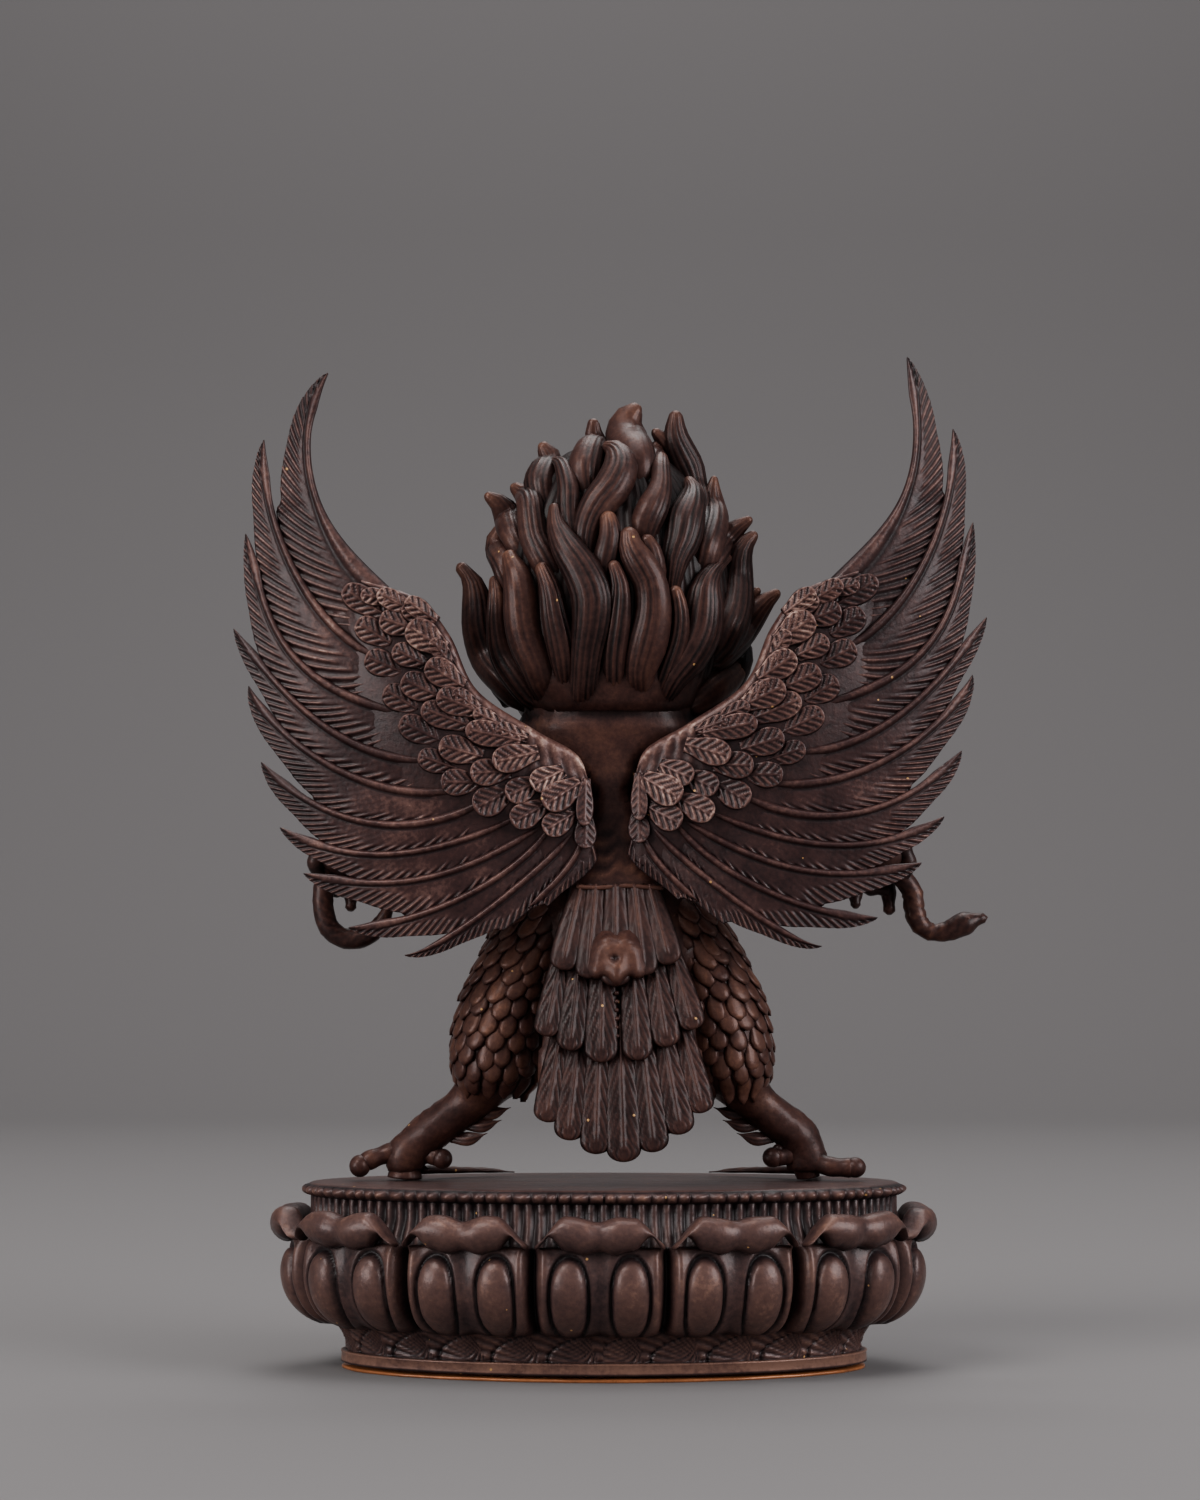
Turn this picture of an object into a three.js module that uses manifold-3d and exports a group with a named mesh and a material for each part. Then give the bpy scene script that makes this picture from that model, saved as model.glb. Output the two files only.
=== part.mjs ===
// A garuda with raised wings on an oval lotus pedestal, cast in copper.
// Millimetres, +Z up. The origin is at the middle of the underside. The figure faces +Y, and +X is its right.
import * as THREE from "three";
import { mergeVertices } from "three/addons/utils/BufferGeometryUtils.js";
import Module from "manifold-3d";

const wasm = await Module();
wasm.setup();

// Fits between the pieces
const SEAM_GAP = 0.3; // between two pieces that touch
const PLUG_CLEARANCE = 0.33; // round a wing's plug in its seat

// Base plate, a thin sheet that closes the hollow pedestal from below
const PLATE_THICKNESS = 0.35;
const PLATE_INSET = 0.2; // how far the sheet stays inside the foot's edge

// Lotus pedestal, an oval whose mouldings are parallel to the edge of its top
const TOP_WIDTH = 62.8;
const TOP_DEPTH = 36.4;
const PEDESTAL_HEIGHT = 18.9; // without the base plate
const FOOT_HEIGHT = 1.3;
const FOOT_INSET = 3.4; // the foot's edge inside the edge of the top
const WAIST_INSET = 4.1;
const WAIST_HEIGHT = 2.3;
const LOTUS_HEIGHT = 9.6; // of the bulging petals
const LOTUS_BULGE = 2.6; // how far the petals stand out past the top
const PETAL_COUNT = 12;
const PETAL_TURN = -0.0025; // of a whole turn
const PETAL_GROOVE = 1.5; // depth between two petals
const BOSS_HEIGHT = 1.1; // of the two long bosses on a petal
const LIP_WIDTH = 11.8;
const LIP_REACH = 4.5; // the curled petal tips past the top
const LIP_DROP = 3.5;
const RIM_HEIGHT = 1.4;
const RIM_REACH = 1.0;
const RING_SIDES = 32; // of the plain mouldings

// Figure, laid out in units of its height
const FIGURE_HEIGHT = 84.5; // from the soles to the tip of the hair
const FIGURE_LAYOUT = 84.5; // units to that height
const FIGURE_OFFSET_X = 0.9; // the figure stands a little to its right of the middle
const HAIR_CORE = 0.9; // the hair's core as a share of the surface that the locks lie on

// Wings
const WING_REACH = 58.2; // from the root to the tip of the longest feather
const WING_LAYOUT = 58.2; // units to that reach
const WING_SET = 0.8; // how much the right wing is set higher and the left one lower
const RIGHT_WING_TURN = 0.3; // degrees outwards
const LEFT_WING_TURN = 1.3;
const ROOT_PLUG_WIDTH = 6.0;
const ROOT_PLUG_HEIGHT = 8.0;

// Levels that follow from the sizes
const PEDESTAL_Z = PLATE_THICKNESS + SEAM_GAP;
const FIGURE_Z = PEDESTAL_Z + PEDESTAL_HEIGHT + SEAM_GAP;
const LOTUS_Z = FOOT_HEIGHT + WAIST_HEIGHT;
const UNIT = FIGURE_HEIGHT / FIGURE_LAYOUT;
const WING_UNIT = WING_REACH / WING_LAYOUT;

// Helpers for vectors and curves
const vec = (x, y, z) => new THREE.Vector3(x, y, z);
const mix = THREE.MathUtils.lerp;
const rad = THREE.MathUtils.degToRad;
const smooth = (t) => THREE.MathUtils.smoothstep(t, 0, 1);
const steps = (count) => Array.from({ length: count }, (_, i) => i);
const fig = (x, y, z) => vec(x, y, z).multiplyScalar(UNIT);

// A geometry from points and faces, turned so that its faces point out.
function shell(points, faces) {
  let volume = 0;
  for (let i = 0; i < faces.length; i += 3) {
    const [a, b, c] = [points[faces[i]], points[faces[i + 1]], points[faces[i + 2]]];
    volume += a.dot(b.clone().cross(c));
  }
  const geometry = new THREE.BufferGeometry().setFromPoints(points);
  geometry.setIndex(volume < 0 ? faces.slice().reverse() : faces);
  return geometry;
}

// A closed body through rings of points. A ring of one point is a tip, and a wider end is closed by a fan.
function loft(rings) {
  const points = [];
  const faces = [];
  const starts = rings.map((ring) => {
    points.push(...ring);
    return points.length - ring.length;
  });
  const sides = Math.max(...rings.map((ring) => ring.length));
  for (const i of steps(rings.length - 1)) {
    const [a, b] = [starts[i], starts[i + 1]];
    const [wideA, wideB] = [rings[i].length > 1, rings[i + 1].length > 1];
    for (const j of steps(sides)) {
      const k = (j + 1) % sides;
      if (wideA) faces.push(a + j, a + k, wideB ? b + j : b);
      if (wideB) faces.push(wideA ? a + k : a, b + k, b + j);
    }
  }
  const close = (ring, start, last) => {
    if (ring.length === 1) return;
    points.push(ring.reduce((sum, p) => sum.add(p), vec(0, 0, 0)).divideScalar(sides));
    for (const j of steps(sides)) {
      const k = (j + 1) % sides;
      faces.push(points.length - 1, start + (last ? j : k), start + (last ? k : j));
    }
  };
  close(rings[0], starts[0], false);
  close(rings.at(-1), starts.at(-1), true);
  return shell(points, faces);
}

// A closed sheet between a front and a back, each a function of a row and a column.
function sheet(rows, columns, front, back) {
  const side = (place) => steps(rows).flatMap((i) => steps(columns).map((j) => place(i, j)));
  const at = (back, i, j) => back * rows * columns + i * columns + j;
  const faces = [];
  const quad = (a, b, c, d) => faces.push(a, b, c, a, c, d);
  for (const i of steps(rows - 1)) {
    for (const j of steps(columns - 1)) {
      quad(at(0, i, j), at(0, i, j + 1), at(0, i + 1, j + 1), at(0, i + 1, j));
      quad(at(1, i, j), at(1, i + 1, j), at(1, i + 1, j + 1), at(1, i, j + 1));
    }
  }
  for (const j of steps(columns - 1)) {
    quad(at(1, 0, j), at(1, 0, j + 1), at(0, 0, j + 1), at(0, 0, j));
    quad(at(0, rows - 1, j), at(0, rows - 1, j + 1), at(1, rows - 1, j + 1), at(1, rows - 1, j));
  }
  for (const i of steps(rows - 1)) {
    quad(at(0, i, 0), at(0, i + 1, 0), at(1, i + 1, 0), at(1, i, 0));
    quad(at(1, i, columns - 1), at(1, i + 1, columns - 1), at(0, i + 1, columns - 1), at(0, i, columns - 1));
  }
  return shell([...side(front), ...side(back)], faces);
}

// A solid for joining and cutting.
function solid(geometry) {
  const bare = geometry.clone();
  bare.deleteAttribute("normal");
  bare.deleteAttribute("uv");
  const merged = mergeVertices(bare);
  const vertProperties = new Float32Array(merged.attributes.position.array);
  const triVerts = new Uint32Array(merged.index.array);
  return new wasm.Manifold(new wasm.Mesh({ numProp: 3, vertProperties, triVerts }));
}

const join = (geometries) => geometries.map(solid).reduce((sum, next) => sum.add(next));

function meshOf(name, body, material) {
  const { vertProperties, triVerts } = body.getMesh();
  const geometry = new THREE.BufferGeometry();
  geometry.setAttribute("position", new THREE.BufferAttribute(new Float32Array(vertProperties), 3));
  geometry.setIndex(new THREE.BufferAttribute(new Uint32Array(triVerts), 1));
  geometry.computeVertexNormals();
  const result = new THREE.Mesh(geometry, material);
  result.name = name;
  return result;
}

// Evenly spaced shares from 0 to 1.
const evenly = (count) => steps(count + 1).map((i) => i / count);

// A closed body along a smooth path. size(t) is its half width and its half thickness towards facing.
function stroke(path, facing, size, stations, sides) {
  const curve = new THREE.CatmullRomCurve3(path, false, "centripetal");
  const rings = stations.map((t) => {
    const middle = curve.getPoint(t);
    const [width, thickness] = size(t);
    if (width === 0) return [middle];
    const along = curve.getTangent(t);
    const across = along.clone().cross(facing(middle)).normalize();
    const out = across.clone().cross(along);
    return steps(sides).map((j) => {
      const angle = Math.PI * (0.5 + (2 * j) / sides);
      const point = middle.clone().addScaledVector(across, width * Math.cos(angle));
      return point.addScaledVector(out, thickness * Math.sin(angle));
    });
  });
  return loft(rings);
}

// A round stroke of the figure through points in its layout, with a radius at its start, middle and end.
function limb(points, radii, count, sides) {
  const size = (t) => {
    const radius = UNIT * (t < 0.5 ? mix(radii[0], radii[1], 2 * t) : mix(radii[1], radii[2], 2 * t - 1));
    return [radius, radius];
  };
  return stroke(points.map((p) => fig(...p)), BACKWARD, size, evenly(count), sides);
}

// An upright body through level rounded ovals: height, middle x, middle y, half width and half depth.
function ovals(levels, sides, squareness) {
  const ring = ([z, x, y, width, depth]) =>
    steps(sides).map((j) => {
      const angle = (2 * Math.PI * (j + 0.5)) / sides;
      const [c, s] = [Math.cos(angle), Math.sin(angle)];
      const size = (Math.abs(c) ** squareness + Math.abs(s) ** squareness) ** (-1 / squareness);
      return fig(x + width * size * c, y + depth * size * s, z);
    });
  return loft(levels.map(ring));
}

function ball(middle, radii, rows, sides) {
  const sphere = new THREE.SphereGeometry(UNIT, sides, rows).rotateX(Math.PI / 2);
  return sphere.scale(radii.x, radii.y, radii.z).translate(...fig(...middle).toArray());
}

const BACKWARD = () => vec(0, -1, 0);
const UPWARD_AND_BACK = () => vec(0, -0.8, 0.6);

// Pedestal
const plan = new THREE.EllipseCurve(0, 0, TOP_WIDTH / 2, TOP_DEPTH / 2, -Math.PI / 2, 1.5 * Math.PI);
plan.arcLengthDivisions = 720;

// A point beside the top's edge. turn is the share of the way round, from the middle of the back.
function onPlan(turn, outset, z) {
  const share = THREE.MathUtils.euclideanModulo(turn, 1);
  const edge = plan.getPointAt(share);
  const along = plan.getTangentAt(share);
  return vec(edge.x + along.y * outset, edge.y - along.x * outset, z);
}

// How far the petals' relief stands out, at a share across a petal and a share of the lotus's height.
function petalRelief(across, height) {
  const fromEdge = Math.min(across, 1 - across);
  const groove = -PETAL_GROOVE * (1 - smooth(fromEdge / 0.14));
  const boss = BOSS_HEIGHT * Math.max(0, 1 - ((fromEdge - 0.3) / 0.19) ** 2);
  const fade = Math.sin(Math.PI * Math.min(1, height * 1.02)) ** 0.5;
  return (groove + boss - 0.4) * fade;
}

// How far the lotus stands out from the top's edge at a share of its height.
function lotusOutset(height) {
  const swell = Math.sin(Math.PI * mix(0.04, 0.66, height ** 0.75)) ** 0.75;
  return mix(-WAIST_INSET, LOTUS_BULGE, swell);
}

// A ring of the pedestal's outline in even steps, or in the steps that its petals' relief needs.
const plainRing = (outset, z) => evenly(RING_SIDES).slice(1).map((turn) => onPlan(turn, outset, z));

function petalRing(height) {
  const across = [0, 0.11, 0.3, 0.5, 0.7, 0.89];
  return steps(PETAL_COUNT * across.length).map((i) => {
    const share = across[i % across.length];
    const turn = (Math.floor(i / across.length) + share - 0.5) / PETAL_COUNT + PETAL_TURN;
    return onPlan(turn, lotusOutset(height) + petalRelief(share, height), LOTUS_Z + LOTUS_HEIGHT * height);
  });
}

function pedestalBody() {
  const rimBottom = PEDESTAL_HEIGHT - RIM_HEIGHT;
  const foot = [
    plainRing(-FOOT_INSET, 0),
    plainRing(-FOOT_INSET, FOOT_HEIGHT),
    plainRing(-WAIST_INSET, FOOT_HEIGHT),
    plainRing(-WAIST_INSET, LOTUS_Z + 0.5),
  ];
  const lotus = [0, 0.07, 0.25, 0.6, 1].map(petalRing);
  const rim = [
    plainRing(0.1, LOTUS_Z + 0.8 * LOTUS_HEIGHT),
    plainRing(-0.1, rimBottom),
    plainRing(RIM_REACH, rimBottom + 0.3 * RIM_HEIGHT),
    plainRing(RIM_REACH, rimBottom + 0.8 * RIM_HEIGHT),
    plainRing(0, PEDESTAL_HEIGHT),
  ];
  return [foot, lotus, rim].map(loft);
}

// The curled tip of one petal, a hooked section that narrows to both ends.
function petalLip(turn) {
  const top = PEDESTAL_HEIGHT - RIM_HEIGHT - 0.8;
  const [rootOut, rootDrop] = [0.3 * LIP_REACH, 0.6 * LIP_DROP];
  const section = [
    [-0.3 * LIP_REACH, 0.5 * LIP_DROP],
    [0.45 * LIP_REACH, 0],
    [0.9 * LIP_REACH, 0.22 * LIP_DROP],
    [LIP_REACH, 0.6 * LIP_DROP],
    [0.75 * LIP_REACH, LIP_DROP],
  ];
  const length = plan.getLength();
  return loft(
    [-1, -0.72, 0, 0.72, 1].map((s) => {
      const place = turn + (s * LIP_WIDTH) / 2 / length;
      const size = Math.sqrt(1 - s * s);
      if (size === 0) return [onPlan(place, rootOut, top - rootDrop)];
      return section.map(([out, drop]) =>
        onPlan(place, mix(rootOut, out, size), top - mix(rootDrop, drop, size)),
      );
    }),
  );
}

function lotusBase() {
  const lips = steps(PETAL_COUNT).map((i) => petalLip(i / PETAL_COUNT + PETAL_TURN));
  return join([...pedestalBody(), ...lips]).translate([0, 0, PEDESTAL_Z]);
}

function basePlate() {
  const inset = FOOT_INSET + PLATE_INSET;
  return solid(loft([plainRing(-inset, 0), plainRing(-inset, PLATE_THICKNESS)]));
}

// Where a wing is rooted: side is 1 for the right wing and -1 for the left one.
const SHOULDER = fig(2.9, 0, 36);
const wingOrigin = (side) => vec(side * SHOULDER.x, 0, SHOULDER.z + side * WING_SET);
const PLUG_MIDDLE = vec(2.9, 0, 4.6); // from the wing's origin, in the wing's layout
const SEAT_Y = -4.0 * UNIT;

// The plug that roots a wing in the back, between two planes. clearance widens it into the seat.
function rootPlug(side, seatY, outerY, clearance) {
  const origin = wingOrigin(side);
  const plug = new THREE.CylinderGeometry(1, 1, seatY - outerY, 12);
  plug.scale(ROOT_PLUG_WIDTH / 2 + clearance, 1, ROOT_PLUG_HEIGHT / 2 + clearance);
  const x = origin.x + side * PLUG_MIDDLE.x * WING_UNIT;
  return plug.translate(x, (seatY + outerY) / 2, origin.z + PLUG_MIDDLE.z * WING_UNIT);
}

// Body
function torso() {
  const levels = [
    [22.5, 0, 0, 6, 4.5],
    [27, 0, -0.6, 9.6, 6.4],
    [32, 0, 0.6, 10.4, 7.4],
    [37, 0, 0.2, 8.8, 6.8],
    [42, 0, 0, 10.2, 6.8],
    [46, 0, 0, 11.6, 6.6],
    [48.5, 0, 0, 10.4, 6.4],
    [50.5, 0, 0.3, 8.8, 6.6],
    [56, 0, 1.5, 8.2, 7],
  ];
  return ovals(levels, 10, 2.5);
}

// A thigh under rows of feathers, whose lower edges stand proud.
function thigh(side) {
  const [rows, step] = [5, 0.45];
  const [top, bottom] = [28, 9];
  const level = (share, proud) => {
    const x = mix(7.6, 12.7, Math.sin((Math.PI / 2) * share ** 0.8));
    const width = 5.3 * Math.sqrt(1 - (share * 0.97) ** 10) + proud;
    return [mix(top, bottom, share), side * x, 0.3, width, width * 1.12];
  };
  const levels = steps(rows).flatMap((i) => [level(i / rows, 0), level((i + 0.9) / rows, step)]);
  return ovals([...levels, [bottom - 0.5, side * 12.8, 0.3, 1.6, 2]], 9, 2);
}

// Three pointed feathers behind a shank.
function spur(side) {
  return steps(3).map((i) => {
    const root = [side * mix(13.2, 16.6, i / 2), 1, mix(8.2, 5.4, i / 2)];
    const tip = [side * mix(10.9, 13.4, i / 2), 0.4, mix(7.8, 5.2, i / 2)];
    const middle = [(root[0] + tip[0]) / 2, 0.8, (root[2] + tip[2]) / 2 - 0.5];
    const size = (t) => [t === 1 ? 0 : UNIT * 0.9 * Math.sin(Math.PI * mix(0.3, 0.85, t)), 0.5 * UNIT];
    return stroke([root, middle, tip].map((p) => fig(...p)), BACKWARD, size, evenly(2), 4);
  });
}

// A shank with its foot: an arched outer toe, a raised inner one, and two long toes in front that lie flat.
function leg(side) {
  const at = (x, y, z) => [side * x, y, z];
  const [arch, reach] = side > 0 ? [1.6, 26] : [2.4, 27];
  const claw = (points) => limb(points, [0.95, 0.8, 0.25], 2, 4);
  const shank = [at(12.8, 0.4, 11), at(15.6, 0.6, 8.2), at(19, 1.1, 5.4), at(21.8, 1.6, 3.2)];
  const ankle = [at(21.6, 1.6, 4), at(21.4, 1.8, 2), at(21.3, 2, 0)];
  const toeTip = [at(reach - 0.4, 0.6, arch), at(reach, 0.4, 0.9)];
  const innerToe = [at(21, 1.6, 3), at(18.8, 1.1, 2.8), at(17.9, 0.9, 2.4)];
  return [
    limb(shank, [3.3, 2.3, 1.8], 3, 7),
    limb(ankle, [1.9, 1.6, 1.7], 1, 7),
    limb([at(22, 1.6, 3.1), at(reach - 2.4, 1, arch + 0.8), ...toeTip], [1.4, 1.25, 1], 3, 5),
    limb(innerToe, [1.4, 1.2, 1.1], 1, 5),
    claw([at(20.8, 2.4, 1), at(17, 6.5, 1.2), at(13.6, 9, 0.8), at(10.6, 9.8, 0.3)]),
    claw([at(21.4, 2.4, 1), at(22, 7, 1.3), at(21.6, 10.6, 0.8), at(21, 12.6, 0.3)]),
    claw([at(22, 2.4, 1), at(24, 6, 1.2), at(24.8, 9, 0.8), at(24.6, 11, 0.3)]),
    ...spur(side),
  ];
}

// An arm held out to the side, with a bracelet and a clawed fist.
function arm(side) {
  const at = (x, y, z) => [side * x, y, z];
  const path = [at(8, 0.4, 46), at(15, -0.6, 44.4), at(20.5, -0.4, 41.4), at(26, 2, 38.2), at(30.4, 3.6, 36)];
  const fingers = [26.6, 30].map((x) => {
    const bend = [at(x + 1.5, 4.6, 36.5), at(x, 6, 34), at(x - 0.2, 5, 31.6), at(x - 0.2, 3.4, 29.8)];
    return limb(bend, [1, 0.9, 0.3], 3, 4);
  });
  return [
    limb(path, [3.3, 2.5, 1.7], 4, 6),
    limb([at(27, 2.4, 37.6), at(28.2, 2.9, 37)], [2.3, 2.3, 2.3], 1, 6),
    ball(at(30, 3.4, 35.7), vec(3, 2.5, 2.8), 4, 6),
    ...fingers,
  ];
}

// The snake hangs from the beak through both fists. Its head is up at the right, its tail curled at the left.
function snake() {
  const path = [
    [-23.6, 3.2, 30.6],
    [-24.2, 3.2, 27.4],
    [-26.4, 3.2, 25.7],
    [-29, 3.2, 25.6],
    [-31, 3.2, 28.3],
    [-30.8, 3.4, 32],
    [-30.2, 4.4, 36.5],
    [-26, 7.8, 40.5],
    [-16, 11.4, 42.4],
    [-7, 14.4, 47.4],
    [-2.4, 15.6, 52.6],
    [0, 15.8, 53.6],
    [2.4, 15.6, 52.6],
    [7, 14.4, 47.4],
    [16, 11.4, 42.4],
    [26, 7.8, 40.5],
    [30.4, 4.4, 36.5],
    [31.4, 3.4, 32.4],
    [32.6, 3.2, 29.6],
    [34.4, 3.2, 26.7],
    [36.6, 3.2, 26.6],
    [38.6, 3.2, 28.1],
    [41.2, 3.2, 28.2],
  ];
  const size = (t) => {
    const head = 0.55 * Math.max(0, 1 - ((t - 0.975) / 0.03) ** 2);
    const radius = t === 1 ? 0 : UNIT * (mix(0.45, 1, smooth(t / 0.15)) + head);
    return [radius, radius * (1 - 0.3 * head)];
  };
  return stroke(path.map((p) => fig(...p)), UPWARD_AND_BACK, size, evenly(27), 4);
}

// Tail: three tiers of feathers over a curved plate. A tier is its count, lowest end, spread and place.
const TAIL_TIERS = [
  { count: 7, top: 17, end: 2.1, rise: 0.07, depth: 0 },
  { count: 6, top: 25, end: 13.1, rise: 0.05, depth: 0.9 },
  { count: 5, top: 31, end: 21.4, rise: 0.06, depth: 1.8 },
];
const TAIL_PITCH = 2.85;
const TIER_THICKNESS = 1.5;
const TAIL_X = 0.8;

const tailY = (z) => mix(-11.6, -6.6, smooth(z / 32));

// One tier: a ridge down each feather, and a lower edge with a lobe for each.
function tailTier({ count, top, end, rise, depth }) {
  const stations = [0, 0.8, 1];
  const place = (thickness) => (i, j) => {
    const ridge = j % 2;
    const across = (j / 2 - count / 2) * TAIL_PITCH;
    const low = end + rise * across * across + (ridge ? 0 : 0.9);
    const t = stations[i];
    const z = mix(top, low, t);
    const out = depth * mix(0.3, 1, t) + (ridge ? mix(0.4, 0.95, t) : 0.35) - thickness;
    return fig(TAIL_X + across * mix(0.62, 1, smooth(t * 1.4)), tailY(z) - out, z);
  };
  return sheet(stations.length, 2 * count + 1, place(0), place(TIER_THICKNESS + depth));
}

function tail() {
  const plate = [[5, 6, 0.6], [9, 9, 0.9], [18, 8.2, 1.1], [31.5, 4.2, 1.6]];
  const core = plate.map(([z, width, depth]) => [z, TAIL_X, tailY(z) + 1.2, width, depth]);
  return [ovals(core, 8, 3), ...TAIL_TIERS.map(tailTier)];
}

// Head
const HAIR = { middle: fig(0, 0.5, 61), radii: fig(13.6, 11.5, 16.5) };

// The point of the hair's surface over a place, at its back or its front, moved out of the surface.
function onHair(x, z, back, out) {
  const { middle, radii } = HAIR;
  const place = fig(x, 0, z);
  const [u, w] = [(place.x - middle.x) / radii.x, (place.z - middle.z) / radii.z];
  const bulge = radii.y * Math.sqrt(Math.max(0, 1 - u * u - w * w)) + out * UNIT;
  return vec(place.x, middle.y + (back ? -bulge : bulge), place.z);
}

// The locks of the back: each one's width, then the places that it passes from its root to its tip.
const BACK_LOCKS = [
  [2.6, [-9.6, 51], [-13.6, 56.1], [-15.2, 61.8], [-17.2, 66.8]],
  [3, [-6.5, 52.1], [-8.6, 57], [-9.9, 62.1], [-11.1, 66.9]],
  [3.8, [-3.3, 51.9], [-2.6, 57.6], [-2, 62.1], [-5.6, 66.8], [-6.1, 71.9]],
  [3.3, [2.2, 52.4], [4.6, 58.2], [4.4, 63.1], [1.8, 66.6], [2.2, 69.3]],
  [3.4, [5.2, 51.5], [9.2, 57.6], [9.6, 62.6], [13, 67.3]],
  [2.8, [10.6, 56.3], [14, 62.8], [14.2, 67.4], [15.8, 70.2]],
  [1.9, [9.5, 65.7], [12.3, 70.5], [15.3, 72]],
  [2.2, [9, 68.3], [11.2, 73.6], [11.3, 76.7]],
  [3.3, [5.6, 61.7], [7.2, 67.5], [9, 71.8], [8.3, 76]],
  [3.2, [7.2, 70.2], [8.6, 77.2], [6.8, 81.8], [7.3, 84.2]],
  [4.2, [2.2, 69.8], [2.1, 79.3], [1.4, 82.9], [3.3, 84.7]],
  [2, [-3.6, 71], [-3.4, 78.7], [-1.9, 83]],
  [2.4, [-7, 70.2], [-6.8, 77.4], [-8.2, 80.2]],
  [2.1, [-4.2, 66.2], [-4.4, 73.8], [-6.4, 77.9]],
  [3.1, [-2.4, 65.6], [-2, 71.5], [1.4, 76.1], [-0.9, 79.2]],
  [2.1, [2.4, 66.6], [5, 72.2], [5, 76.7], [6.2, 78.5]],
  [2.3, [-8.2, 66], [-8.3, 72.2], [-11.3, 75.9]],
  [2, [-9.5, 68.4], [-11.7, 73.4], [-14.2, 74.6]],
  [2, [-11.3, 63.9], [-13.3, 69], [-11.9, 71.3]],
  [2.8, [10.6, 55.8], [15.4, 61.3], [18.6, 64]],
  [3.2, [6.5, 50.8], [12.5, 53.6], [16, 57.4]],
  [3.2, [-8.3, 51.8], [-11.7, 56.5], [-13, 65.1]],
];

function lock(width, places, back) {
  const last = places.length - 1;
  const path = places.map(([x, z], i) => onHair(x, z, back, mix(-0.9, 1, smooth(i / last))));
  path.unshift(path[0].clone().lerp(HAIR.middle, 0.35));
  const size = (t) => {
    if (t === 1) return [0, 0];
    const half = width * UNIT * Math.min(mix(0.4, 0.62, smooth(t * 2.4)), mix(0.2, 0.95, Math.sqrt(1 - t)));
    return [half, half];
  };
  return stroke(path, () => vec(0, back ? -1 : 1, 0), size, [0, 0.38, 0.65, 0.87, 1], 3);
}

// The front's locks rise in one row behind the crown.
function frontLocks() {
  const count = 5;
  return steps(count).map((i) => {
    const across = (2 * i) / (count - 1) - 1;
    const lean = 10 * across;
    const sway = i % 2 === 0 ? 1 : -1;
    return lock(5, [[lean * 0.86, 63], [lean + sway, 70], [lean * 1.1, 77 - 5 * across * across]], false);
  });
}

function head() {
  const both = (make) => [-1, 1].map(make);
  const beakSize = (t) => [UNIT * mix(2.9, 0.25, t ** 0.8), UNIT * mix(2.4, 0.3, t)];
  const upper = [[0, 9, 57.6], [0, 14, 58], [0, 17, 56.4], [0, 17.6, 52.8]].map((p) => fig(...p));
  const lower = [[0, 9, 54.4], [0, 13, 52.8], [0, 15.8, 51.4]].map((p) => fig(...p));
  const lowerSize = (t) => [UNIT * mix(2.2, 0.4, t), UNIT * mix(1.2, 0.4, t)];
  const brow = (side) => [[side * 0.8, 11.8, 60.4], [side * 3.8, 12, 62], [side * 6.8, 9.4, 61]];
  const ear = (side) => [[side * 6.6, 3, 56], [side * 9.6, 4, 58.5], [side * 10.6, 4.4, 61.5]];
  const horn = (side) => [[side * 3.2, 9, 63], [side * 4.6, 10.4, 67.5], [side * 3.4, 10.2, 71.5]];
  const crown = steps(5).map((i) => {
    const turn = rad((i - 2) * 33);
    const [x, y] = [7.4 * Math.sin(turn), 3.6 + 7.6 * Math.cos(turn)];
    const height = i % 2 === 0 ? 6.4 : 4.8;
    const size = (t) => [t === 1 ? 0 : UNIT * 1.9 * Math.sqrt(1 - t ** 2.5), UNIT * 0.8];
    const facing = () => vec(Math.sin(turn), Math.cos(turn), 0);
    return stroke([fig(x, y, 61.5), fig(x * 1.04, y * 1.02, 61.5 + height)], facing, size, [0, 0.6, 1], 4);
  });
  const { middle, radii } = HAIR;
  const core = new THREE.SphereGeometry(HAIR_CORE, 8, 6).rotateX(Math.PI / 2);
  core.scale(radii.x, radii.y, radii.z).translate(middle.x, middle.y, middle.z);
  return [
    core,
    ball([0, 4.2, 57.2], vec(7.6, 8.2, 8.2), 5, 7),
    stroke(upper, UPWARD_AND_BACK, beakSize, evenly(3), 5),
    stroke(lower, UPWARD_AND_BACK, lowerSize, evenly(1), 4),
    ...both((side) => ball([side * 3.6, 11, 59.4], vec(1.7, 1.5, 1.5), 3, 5)),
    ...both((side) => limb(brow(side), [0.7, 1, 0.5], 2, 4)),
    ...both((side) => limb(ear(side), [1.8, 1.4, 0.3], 2, 4)),
    ...both((side) => limb(horn(side), [1.1, 0.9, 0.2], 3, 4)),
    ...crown,
    ...BACK_LOCKS.map(([width, ...places]) => lock(width, places, true)),
    ...frontLocks(),
  ];
}

// A necklace with a pendant, and the edge of the belly's feathers.
function ornaments() {
  const chain = [[-8.6, 1, 49.6], [-6.4, 5.4, 47.4], [0, 7.4, 45.4], [6.4, 5.4, 47.4], [8.6, 1, 49.6]];
  return [limb(chain, [0.8, 0.9, 0.8], 6, 4), ball([0, 7.6, 43.6], vec(1.6, 1.2, 2), 3, 5)];
}

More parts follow.
